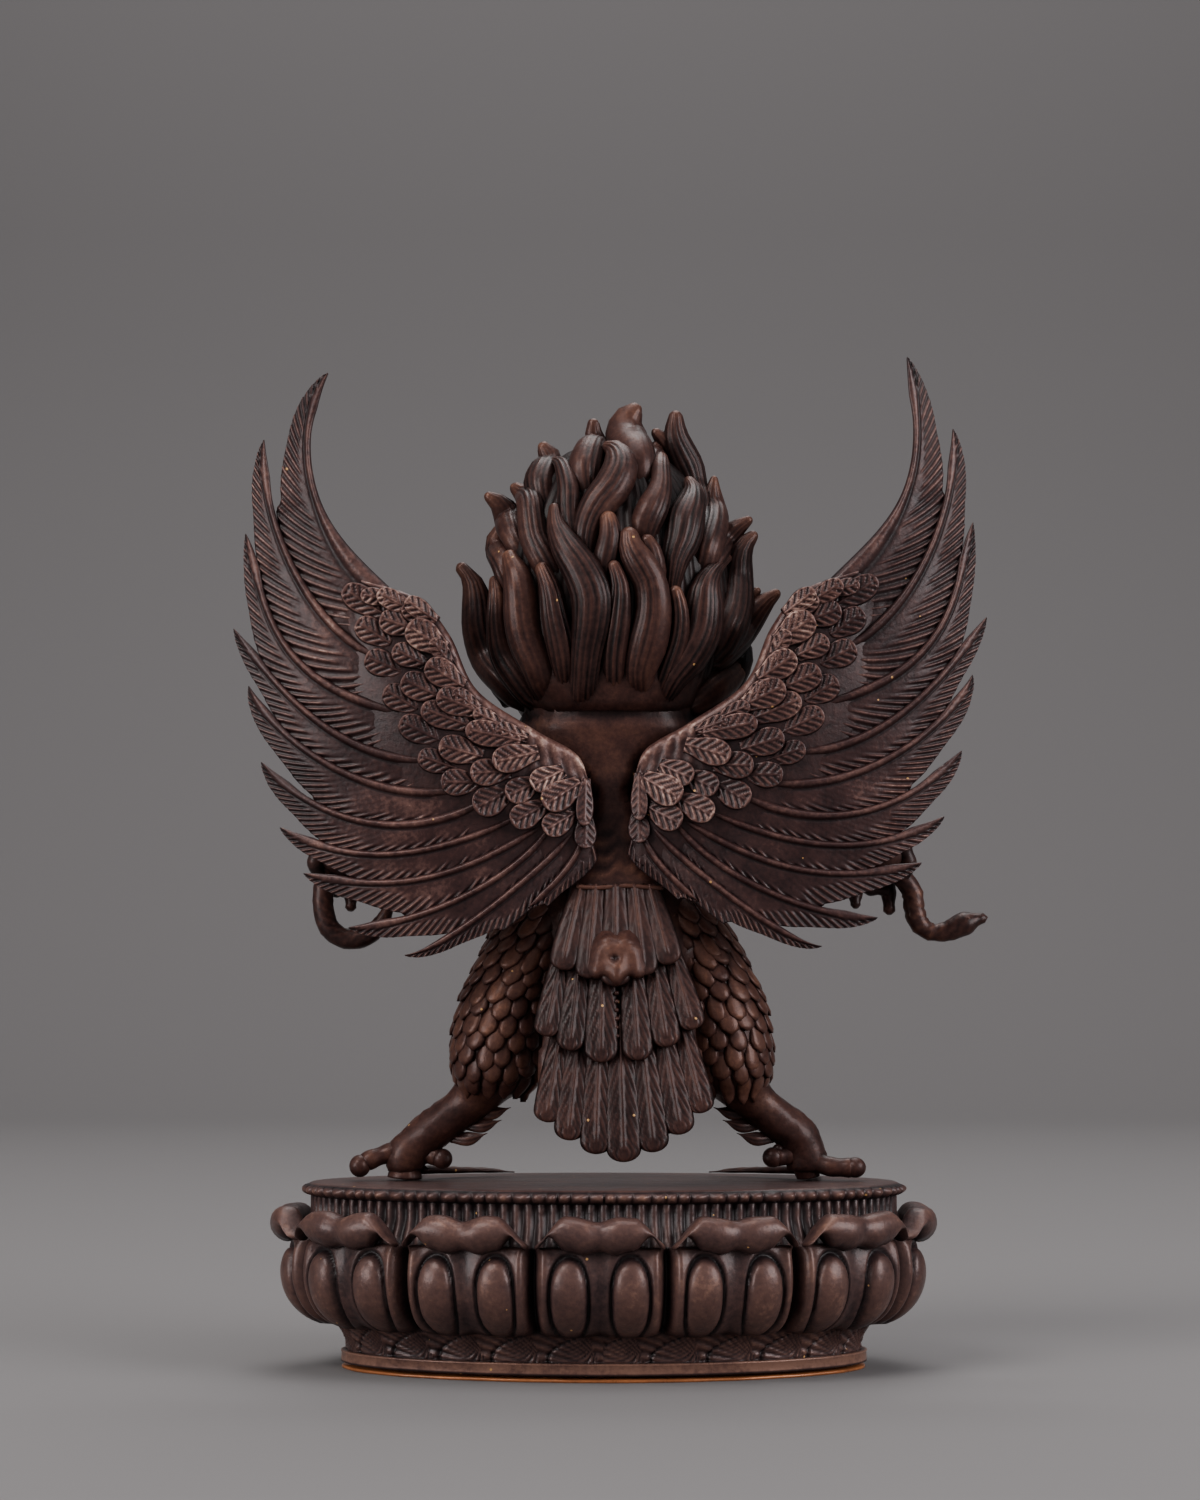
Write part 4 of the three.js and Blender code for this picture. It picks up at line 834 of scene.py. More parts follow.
# Each lock of the back: how striped it is, a knob at its tip, then the places it passes with its half width.
LOCKS = [
    (0.7, 0, [(0.2, 51.6, 0.74), (0.2, 55.3, 0.95), (0.7, 59.4, 1.05), (0.8, 62.5, 0.95), (0, 65.2, 0.74)]),
    (0.8, 0, [
        (-4.6, 52.1, 0.64), (-5.2, 55.7, 1.17), (-6, 59.3, 1.27),
        (-6.6, 62.4, 1.16), (-7.7, 65.3, 0.85),
    ]),
    (0.6, 0, [(4.7, 51.5, 0.64), (6, 54.4, 0.85), (7, 57.5, 0.95), (7.1, 60.3, 0.95), (6.5, 62.7, 0.85)]),
    (0.5, 0, [(-1.5, 62.2, 0.85), (-0.7, 65.4, 1.06), (-0.2, 68.1, 1.17), (-0.6, 70.7, 0.96)]),
    (0.5, 0, [(4, 61.2, 0.85), (4.5, 64.2, 0.95), (4.2, 66.5, 0.95), (3.4, 68.1, 0.74)]),
    (0.4, 0, [(12.6, 59.8, 0.76), (14.1, 61.9, 0.77), (15.1, 62.9, 0.77), (16.2, 64, 0.49)]),
    (0.3, 0, [
        (8.2, 50.5, 1.08), (9.8, 51.6, 1.62), (11.7, 53.3, 1.84),
        (13.7, 55.3, 1.42), (14.9, 56.6, 0.76),
    ]),
    (0.4, 0, [
        (10.8, 55.5, 1.08), (12.6, 57.6, 1.41), (14.3, 59.9, 1.53),
        (15.8, 61.5, 1.31), (17.2, 62.8, 0.93), (18.4, 63.7, 0.55),
    ]),
    (0.5, 0, [
        (-8, 50.8, 0.76), (-10.2, 53.4, 1.08), (-11.9, 56.1, 1.08),
        (-12.5, 59.3, 0.97), (-12.5, 62, 0.97), (-12.8, 64.8, 0.65),
    ]),
    (0.5, 1, [
        (-9.6, 51.3, 0.87), (-11.9, 54, 1.32), (-13.7, 56.7, 1.48), (-14.6, 59.7, 1.48),
        (-14.8, 62.4, 1.42), (-15.2, 64.4, 1.15), (-16, 65.7, 0.82), (-16.9, 66.7, 0.6),
    ]),
    (0.9, 0, [
        (10.8, 56, 1.29), (12.4, 59.1, 1.62), (13.4, 62.6, 1.64), (13.7, 65.5, 1.54),
        (13.9, 67.5, 1.43), (14.7, 69, 1.1), (15.9, 70.2, 0.55),
    ]),
    (0.2, 0, [(4.4, 77.4, 0.88), (4.9, 79.2, 0.99), (5, 80.4, 0.66)]),
    (0.3, 0, [(6.9, 78.3, 0.77), (6, 80.1, 0.99), (4.5, 81.7, 0.55)]),
    (0.05, 0, [
        (3, 74.4, 1.41), (2.5, 78.1, 1.99), (1.7, 80.2, 2.15),
        (1.6, 82, 2.04), (2.2, 83.5, 1.43), (3.2, 84.3, 0.66),
    ]),
    (0.8, 0, [
        (9.7, 72.3, 0.77), (9.2, 75.3, 0.99), (8.4, 77.5, 1.43), (7.6, 79.2, 1.49),
        (7.1, 80.8, 1.32), (7, 82.3, 1.1), (7.1, 83.8, 0.77),
    ]),
    (0.4, 0, [
        (-2.4, 72.5, 0.65), (-2.9, 75.8, 1.36), (-2.3, 78.7, 1.32),
        (-1.7, 80.4, 0.99), (-2.1, 81.8, 0.88), (-1.9, 82.9, 0.61),
    ]),
    (0.5, 0, [
        (9.4, 64.4, 1.07), (10.1, 67.3, 1.29), (11.1, 71.1, 1.32),
        (11.1, 73.4, 1.21), (11.1, 74.9, 0.93), (11.3, 76.5, 0.38),
    ]),
    (0.5, 0, [
        (9.4, 64.1, 0.96), (10.7, 66.5, 1.08), (12.3, 69.3, 1.1),
        (13.5, 70.5, 0.99), (14.5, 71.2, 0.77), (15.4, 71.8, 0.49),
    ]),
    (0.6, 0, [
        (-7.3, 72, 0.87), (-7.8, 75.1, 1.32), (-7.4, 76.7, 1.32),
        (-6.8, 78.1, 1.27), (-7.1, 79.2, 1.1), (-8, 80.1, 0.6),
    ]),
    (0.3, 0, [
        (-9.7, 67.1, 0.75), (-10.9, 69.8, 1.09), (-11.4, 72, 1.27),
        (-12.2, 73.3, 1.1), (-13.2, 74, 0.77), (-14, 74.4, 0.55),
    ]),
    (0.3, 0, [
        (-10.7, 63.6, 0.97), (-11.7, 66.2, 1.08), (-12.6, 68.7, 1.1),
        (-12.5, 70.1, 1.04), (-12, 70.9, 0.55),
    ]),
    (0.5, 0, [
        (-5.6, 62.9, 0.96), (-7.1, 65.7, 1.17), (-8.3, 68.1, 1.18), (-8.7, 70.5, 1.24),
        (-8.9, 72.6, 1.3), (-9.9, 74.6, 1.1), (-11.1, 75.5, 0.6),
    ]),
    (0.6, 0, [
        (-4, 65.4, 0.53), (-4.4, 68.1, 0.75), (-4.7, 71.2, 0.96),
        (-4.7, 73.6, 1.02), (-5.4, 76.6, 0.88), (-6.4, 78, 0.49),
    ]),
    (0.3, 0, [
        (3, 66.7, 0.74), (3.5, 69.3, 1.17), (4.4, 71.5, 1.34),
        (5.2, 73.8, 1.08), (5.3, 76.7, 0.99), (5.4, 78.2, 0.77),
    ]),
    (0.55, 0, [
        (-2.4, 63.9, 0.95), (-2.9, 66.8, 1.17), (-2.6, 69.3, 1.44), (-1.5, 71.6, 1.76),
        (0, 73.6, 1.93), (0.9, 76.1, 1.84), (0.2, 78.4, 1.21), (-1, 79, 0.55),
    ]),
    (0.9, 0, [
        (5.9, 60.7, 0.64), (6.3, 63.2, 0.96), (6.7, 65.7, 1.39), (7.5, 68, 1.87),
        (7.9, 70.3, 2.04), (8.6, 72.6, 1.52), (8.7, 74.6, 0.99), (8.1, 75.7, 0.55),
    ]),
    (0.35, 1, [
        (-6.9, 51.6, 1.28), (-7.9, 54.5, 1.71), (-9.1, 57.3, 1.87), (-9.6, 59.9, 1.87),
        (-9.8, 62.1, 1.76), (-10.2, 64.3, 1.5), (-10.9, 66.1, 1.02), (-11.2, 67.1, 0.65),
    ]),
    (1, 0, [
        (5.1, 50.7, 0.85), (6.4, 53.2, 1.49), (8.1, 55.6, 1.97), (9.4, 58.3, 2.13),
        (9.8, 61, 2.03), (10, 63, 1.6), (10.8, 64.7, 1.07), (12.8, 67.3, 0.55),
    ]),
    (0.4, 0, [
        (3, 51.2, 1.17), (2.9, 53.8, 1.59), (3.6, 56.4, 1.96), (4.2, 59, 1.9), (4.3, 61.1, 1.8),
        (3.9, 63.2, 1.74), (2.8, 65.1, 1.69), (1.9, 66.9, 1.43), (1.7, 68.9, 1.01),
    ]),
    (0.8, 0, [
        (-3.1, 50.4, 1.39), (-2.9, 53.2, 1.49), (-2.6, 55.8, 1.69), (-2.1, 58.9, 2.01), (-2.1, 61.4, 2.16),
        (-3.2, 64.1, 2.01), (-4.8, 66.7, 1.7), (-5.9, 69.2, 1.17), (-6.2, 71.9, 0.7),
    ]),
]


def hair_height(z):
    """A height on the hair, as a share of its reach up or down from the middle."""
    return (z - HAIR_MIDDLE[2]) / np.where(z > HAIR_MIDDLE[2], HAIR_TOP, HAIR_RADII[2])


def hair_share(x, z):
    """How far out of its egg-shaped middle the hair reaches at a place, as a share of its depth."""
    u, w = (x - HAIR_MIDDLE[0]) / HAIR_RADII[0], hair_height(z)
    return np.sqrt(np.clip(1 - u * u - w * w, 0, 1))


def on_hair(x, z, back, out):
    """A place on the hair, seen from the back or the front, at a distance out of it."""
    place = fig(x, 0, z)
    bulge = HAIR_RADII[1] * float(hair_share(place[0], place[2])) + out
    return np.array([place[0], HAIR_MIDDLE[1] + (-bulge if back else bulge), place[2]])


def hair_mass(shells):
    """The smooth, finely grooved mass that the locks rise from."""
    sides, rows = 224, 36
    angle = np.arange(sides)[None] / sides * TAU
    share = np.linspace(0, 1, rows)[:, None]
    z = HAIR_MIDDLE[2] + lerp(-11.25, HAIR_TOP * 0.965, share**0.9)
    w = hair_height(z)
    size = 0.975 * np.sqrt(1 - w * w)
    lines = sides / 4
    sway = 0.5 * np.sin(z * 0.33 + 2 * np.sin(angle * 3))
    groove = 0.5 - 0.5 * np.cos(angle * lines + sway)
    calm = smooth((share - 0.06) / 0.1)
    radius = size - 0.028 * (1 - groove) * calm
    x = HAIR_MIDDLE[0] + HAIR_RADII[0] * radius * np.cos(angle)
    depth = np.where(np.sin(angle) < 0, HAIR_RADII[1], HAIR_FRONT)
    y = HAIR_MIDDLE[1] + depth * radius * np.sin(angle)
    z = z + 0 * x
    # Above its lower rim the mass is painted dark as shade between the locks, darker again in its grooves,
    # and the pits at the back of the neck are darker too.
    wear = 0.42 - 0.26 * calm - 0.2 * (1 - groove) * calm
    for px, pz in HAIR_HOLES:
        at = fig(px, 0, pz)
        pit = spot(x, z, at[::2], (0.35, 0.35)) * (y < 0)
        wear = wear - 0.5 * pit
        y = y + 0.5 * pit
    shells.grid(np.stack([x, y, z], -1), np.clip(wear, 0, 1))


def lock(shells, striped, knob, places, back, seed, fine=True):
    """A tongue of hair that lies on the head, with fine grooves along it and a rounded tip."""
    last = len(places) - 1
    lifts = [lerp(-1.35, 0.85, min(1.0, 1.3 * i / last) ** 0.7) for i in range(len(places))]
    path = [on_hair(x, z, back, lift) for (x, z, w), lift in zip(places, lifts)]
    fuller = 1.0 if max(w for x, z, w in places) > 1.7 else 1.28
    halves = [w * lerp(fuller * 1.15, 1.0, smooth(i / last)) for i, (x, z, w) in enumerate(places)]
    halves[-2:] = [halves[-2] * 0.93, halves[-1] * 0.8]
    path.insert(0, lerp(path[0], HAIR_MIDDLE, 0.22))
    line = Line([(*p, w) for p, w in zip(path, [halves[0] * 0.8] + halves)], 12)
    along_length = run_length(line.p[:, :3])
    length, end = along_length[-1], halves[-1]
    body = np.linspace(0, length - end, max(9, int(length / 1.02)))
    s = np.concatenate([body, length - end + end * np.sin(np.linspace(0.25, math.pi / 2 * 0.985, 5))])
    at = np.stack([np.interp(s, along_length, line.p[:, k]) for k in range(4)], -1)
    middle, half = at[:, :3], at[:, 3]
    along = unit(np.gradient(middle, axis=0))
    tip = np.clip((s - (length - end)) / end, 0, 1)
    half = half * np.sqrt(1 - tip**2 * 0.9995) * (1 + 0.2 * knob * pulse(s, length - 1.1 * end, end * 0.8))
    out = np.array([0, -1.0 if back else 1.0, 0]) + 0.35 * unit((middle - HAIR_MIDDLE) / HAIR_RADII**2 * 100)
    across = unit(np.cross(along, out))
    out = np.cross(across, along)
    wide = max(halves)
    lines = max(3, int(round(wide * 2 / 0.5)))
    front = max(10, min(28, lines * 4)) if fine else 10
    a = np.concatenate([np.linspace(-1.75, 1.75, front), [2.25, math.pi, -2.25]])[None]
    share = (s / length)[:, None]
    groove = 0.5 - 0.5 * np.cos(TAU * lines * (a / math.pi + 0.5) + 0.6 * np.sin(s[:, None] * 0.35 + seed))
    strand = np.floor(lines * (a / math.pi + 0.5))
    luck = chances(strand * 12.9 + seed * 3.1)
    lean = 1 if seed % 2 else -1
    place = 1.0 if striped > 0.75 else smooth((a * lean * (0.6 + striped) + 1.9 * striped) * 0.9 + 0.15)
    calm = smooth((length - s[:, None]) / 2.2) * (np.abs(a) < 1.8)
    depth = min(1.0, striped + 0.35) * place * calm * (0.45 + 0.55 * luck)
    radius = half[:, None] - 0.28 * (1 - groove) ** 1.5 * depth * smooth(half[:, None] / 0.9)
    middle = middle - out * (2.2 * (1 - smooth(s / 6.5)) * (half / 1.9))[:, None]
    low = np.where(np.cos(a) < 0, 0.9, 0.84)
    points = middle[:, None] + across[:, None] * (radius * np.sin(a))[..., None]
    points = points + out[:, None] * (radius * np.cos(a) * low)[..., None]
    # Painted light and shade: each lock is lighter on its front and towards its tip, and darker in its
    # grooves and on the sides that turn away.
    shade = 0.34 + 0.16 * np.clip(np.cos(a), 0, 1) ** 2 + 0.2 * smooth((share - 0.75) / 0.2)
    shade = shade + 0.1 * (1 - striped)
    shade = shade - 0.6 * (1 - groove) ** 1.5 * depth - 0.42 * smooth((0.3 - np.cos(a)) / 0.8)
    shells.grid(points, np.clip(shade + 0 * radius, 0, 1))


def hair(shells):
    """The mass, the locks of the back, and plainer locks over the forehead and beside the face."""
    hair_mass(shells)
    for i, (striped, knob, places) in enumerate(LOCKS):
        lock(shells, striped, knob, places, True, i)
    for i in range(5):
        across = i / 2 - 1
        lean, sway = 10 * across, 1 if i % 2 == 0 else -1
        top = 77 - 5 * across * across
        low = [(lean * 0.86, 63, 1.5), (lean + sway, 68, 2.0)]
        places = low + [(lean * 1.05 - sway * 0.6, 73, 1.5), (lean * 1.1, top, 0.6)]
        lock(shells, 0.6, 0, places, False, i, False)
    for i in range(6):
        across = (i - 2.5) / 2.5
        if abs(across) > 0.5:
            low = [(across * 11.0, 52, 1.0), (across * 12.6 + 0.6, 56, 1.7)]
            places = low + [(across * 12.2, 60.5, 1.5), (across * 11.4, 65, 0.6)]
            lock(shells, 0.6, 0, places, False, i + 3, False)


# The limbs of one side of the face, with their radii, rings and sides: brow, cheek, ear and horn
FACE_PARTS = [
    ([(0.8, 11.8, 60.4), (3.8, 12, 61.8), (6.8, 9.4, 61)], (0.7, 1, 0.5), 18, 12),
    ([(1.6, 11.6, 57.8), (4.2, 11.6, 57.6), (6.2, 9.8, 58.8)], (0.5, 0.7, 0.4), 16, 12),
    ([(6.6, 3, 56), (9.6, 4, 58.5), (10.6, 4.4, 61.5)], (1.8, 1.4, 0.3), 18, 14),
    ([(3.2, 9, 63), (4.6, 10.4, 67.5), (3.4, 10.2, 71.5)], (1.1, 0.9, 0.2), 20, 12),
]


def face_and_crown(shells):
    """The hidden face: a hooked beak, eyes under heavy brows, ears, horns and a small crown of leaves."""
    upper = Line(figs([(0, 9, 57.6), (0, 14, 58), (0, 17, 56.4), (0, 17.6, 52.8)]))
    width, depth = lambda t: lerp(2.9, 0.25, t**0.8), lambda t: lerp(2.4, 0.3, t)
    tube(shells, upper, 22, 16, width, depth, (0, -0.8, 0.6))
    lower = Line(figs([(0, 9, 54.4), (0, 13, 52.8), (0, 15.8, 51.4)]))
    width, depth = lambda t: lerp(2.2, 0.4, t), lambda t: lerp(1.2, 0.4, t)
    tube(shells, lower, 14, 14, width, depth, (0, -0.8, 0.6))
    for side in (-1, 1):
        ball(shells, fig(side * 3.6, 11, 59.4), (1.6, 1.4, 1.4), 14, 18)
        for points, radii, count, sides in FACE_PARTS:
            limb(shells, mirrored(side, points), radii, count, sides)
    for i in range(5):
        turn = math.radians((i - 2) * 33)
        x, y, height = 7.4 * math.sin(turn), 3.6 + 7.6 * math.cos(turn), 6.4 if i % 2 == 0 else 4.8
        low, top = 61.5, 61.5 + height
        middle = (x * 1.02, y * 1.01, low + height / 2)
        leaf_line = Line(figs([(x, y, low), middle, (x * 1.04, y * 1.02, top)]))
        width, depth = lambda t: 1.9 * arch(t, 2.5), lambda t: 0.8 * np.sqrt(np.clip(1.02 - t**4, 0, 1))
        tube(shells, leaf_line, 16, 16, width, depth, (math.sin(turn), math.cos(turn), 0))
    band = [(7.6, 3, 61.6), (5.5, 9.2, 61.6), (0, 11.6, 61.6), (-5.5, 9.2, 61.6), (-7.6, 3, 61.6)]
    limb(shells, band, (0.7, 0.9, 0.7), 40, 12)


# Heights of the torso with middle x, middle y, half width and half depth, and the same for the tail's backing
TORSO = [
    (22.5, 0, 0, 6, 4.5), (27, 0, -0.6, 9.0, 6.4), (32, 0, 0.4, 9.4, 7.2), (37, 0, 0.2, 8.6, 6.8),
    (42, 0, 0, 10.0, 6.7), (46, 0, 0, 11.2, 6.7), (48.3, 0, 0, 10.2, 7.2), (50.5, 0, 0.2, 9.7, 7.3),
    (56, 0, 1.5, 8.2, 7),
]
TAIL_BACKING = [(5, 6, 0.6), (9, 8.6, 0.9), (18, 8.0, 1.1), (31.5, 4.2, 1.6)]
MELT_VOXEL, MELT_ROUNDS = 0.86, 2


def core(shells):
    """The body, limbs and head, melted into one skin and marked with the small forms of the back."""
    parts = Shells()
    ovals(parts, [level(*v) for v in TORSO], 40, 2.5)
    for side in (-1, 1):
        z = np.linspace(28.9, 8.85, 30)[:, None]
        a = np.arange(36)[None] / 36 * TAU
        parts.grid(thigh_point(side, a, z, 0.0))
        leg(parts, side)
        arm(parts, side)
    ball(parts, HAIR_MIDDLE, HAIR_RADII * HAIR_CORE, 40, 48)
    ovals(parts, [level(z, 0.8, tail_y(z) + 1.2, w, d) for z, w, d in TAIL_BACKING], 32, 3)
    ball(parts, fig(0, 4.2, 57.2), (7.6, 8.2, 8.2), 30, 40)
    points, normals, faces = blended(parts, MELT_VOXEL, MELT_ROUNDS)
    x, y, z = points[:, 0] - FIGURE_X, points[:, 1], points[:, 2] - FIGURE_Z
    back = smooth((-normals[:, 1] + 0.1) / 0.5)
    wear = 0.47 + 0.1 * ripple(points, 5.0, 2)
    collar = back * (np.abs(x) < 11) * (pulse(z, 49.5, 0.3) + 0.7 * pulse(z, 51.2 - 0.02 * x * x, 0.25))
    wrinkle = back * (np.abs(x) < 6) * smooth((37.8 - z) / 0.8) * smooth((z - 31.6) / 0.8)
    folds = np.sin(z * 3.6 + 1.2 * np.sin(x * 1.1) + 0.5 * np.sin(x * 3.7))
    out = -0.35 * collar + 0.2 * wrinkle * folds + 0.03 * ripple(points, 2.2, 5)
    strip = back * smooth((4.5 - np.abs(x)) / 2) * smooth((z - 30) / 2) * smooth((48 - z) / 2)
    wear = wear - 0.3 * collar + 0.02 * strip + 0.22 * wrinkle * folds
    shin = (z < 9) * (np.abs(x) > 13)
    wear = wear + 0.05 * shin
    out = out + shin * 0.1 * ripple(points, 1.7, 9)
    points = points + normals * out[:, None]
    points[:, 2] = np.maximum(points[:, 2], FIGURE_Z)
    for side in (-1, 1):
        u = (points[:, 0] - FIGURE_X - side * (WING_ROOT_X + ROOT_MIDDLE[0])) / SEAT_RADII[0]
        w = (points[:, 2] - FIGURE_Z - WING_ROOT_Z - side * WING_SET - ROOT_MIDDLE[1]) / SEAT_RADII[1]
        seat = (u * u + w * w < 1) & (points[:, 1] < SEAT_Y)
        points[seat, 1] = SEAT_Y
    shells.skin(points, faces, wear)


def necklace(shells):
    """A string of beads with a drop in the middle."""
    line = Line(figs([(-8.6, 1, 49.6), (-6.4, 5.4, 47.4), (0, 7.4, 45.4), (6.4, 5.4, 47.4), (8.6, 1, 49.6)]))
    beads = 15

    def relief(along, c, s, t):
        bead = np.abs(np.sin(math.pi * beads * t))
        return 0.35 * bead**0.6, 0.35 + 0.4 * bead

    tube(shells, line, beads * 7, 10, even(0.55), even(0.55), (0, 1, 0), relief)
    ball(shells, fig(0, 7.6, 43.6), (1.6, 1.2, 2), 12, 16, 0.6)


def garuda_figure():
    shells = Shells()
    core(shells)
    face_and_crown(shells)
    for side in (-1, 1):
        thigh_scales(shells, side)
        spurs(shells, side)
        toes(shells, side)
        fingers(shells, side)
    tail(shells)
    hair(shells)
    snake(shells)
    necklace(shells)
    return shells


# Wings, laid out for the right one from its root, as seen from behind
WING_ROOT_X, WING_ROOT_Z, WING_SET = 2.9, 36.0, 0.8
WING_TURN = {1: 0.3, -1: 1.3}
WING_LIFT = {1: 0.0, -1: 1.0}  # how much higher the cast blade sits on its root
BLADE_Y, BLADE_BEND, BLADE_MIDDLE, BLADE_REACH = -10.5, 4.5, 18, 22
ROOT_MIDDLE, ROOT_RADII = (2.9, 4.6), (2.98, 3.98)
SEAT_RADII, SEAT_Y = (3.75, 4.75), -3.9  # the flat seat for the root in the figure's back
# Each long feather: root, tip, headings at root and tip, handle shares, and where its tip comes free
FEATHERS = [
    ((21.7, 26.9), (28.5, 51.0), 45, 102, 0.47, 0.39, 0.46),
    ((22.8, 20.1), (33.6, 42.9), 31, 95, 0.31, 0.31, 0.49),
    ((20.3, 13.7), (35.5, 32.9), 16, 72, 0.58, 0.24, 0.47),
    ((17.4, 8.3), (36.8, 22.8), 4, 56, 0.38, 0.27, 0.52),
    ((15.0, 4.9), (35.3, 16.4), -3, 70, 0.43, 0.19, 0.46),
    ((11.9, 3.1), (33.8, 8.3), -23, 50, 0.44, 0.31, 0.57),
    ((8.5, 1.4), (31.7, 1.4), -23, 32, 0.36, 0.39, 0.6),
    ((5.4, 0.6), (29.1, -3.4), -31, 16, 0.31, 0.46, 0.57),
    ((4.1, 0.3), (24.3, -9.1), -52, 3, 0.32, 0.27, 0.55),
    ((2.6, -1.1), (18.4, -12.1), -48, 0, 0.16, 0.2, 0.5),
    ((0.6, -1.2), (5.6, -7.0), -66, -40, 0.3, 0.3, 0.8),
]
LEADING_EDGE = [(-0.6, 5.6), (0.4, 8.2), (5, 11), (11.2, 15.4), (14, 21.3), (17, 25.1), (23.5, 27.8)]
COVERT_EDGE = [(-0.8, 3), (0, -0.4), (5.5, 0.8), (11.8, 3.4), (17.7, 8.8), (21.6, 16.5), (24.6, 26.6)]


def wing_points(x, z, out, side):
    """Points over the wing's middle surface, which bends away from the back towards the tips."""
    y = BLADE_Y + BLADE_BEND * ((x + WING_ROOT_X - BLADE_MIDDLE) / BLADE_REACH) ** 2 - out
    a = math.radians(WING_TURN[side])
    turned_x, turned_z = math.cos(a) * x + math.sin(a) * z, -math.sin(a) * x + math.cos(a) * z
    px = side * (turned_x + WING_ROOT_X) + FIGURE_X
    pz = turned_z + WING_ROOT_Z + side * WING_SET + WING_LIFT[side] + FIGURE_Z
    return np.stack(np.broadcast_arrays(px, y, pz), -1)


def vane_reach(curve, after):
    """How far each point of a curve is from the next one, square to the curve."""
    along = unit(np.gradient(curve, axis=0))
    aside = np.stack([along[:, 1], -along[:, 0]], -1)
    reach = np.full(len(curve), np.nan)
    for i in range(len(curve)):
        away = after - curve[i]
        b, a = away @ along[i], away @ aside[i]
        cross = np.nonzero((b[:-1] * b[1:] <= 0) & (a[:-1] > 0))[0]
        if len(cross):
            j = cross[np.argmin(a[cross])]
            f = b[j] / (b[j] - b[j + 1] + 1e-12)
            reach[i] = lerp(a[j], a[j + 1], f)
    good = ~np.isnan(reach)
    return np.interp(np.arange(len(curve)), np.nonzero(good)[0], reach[good])


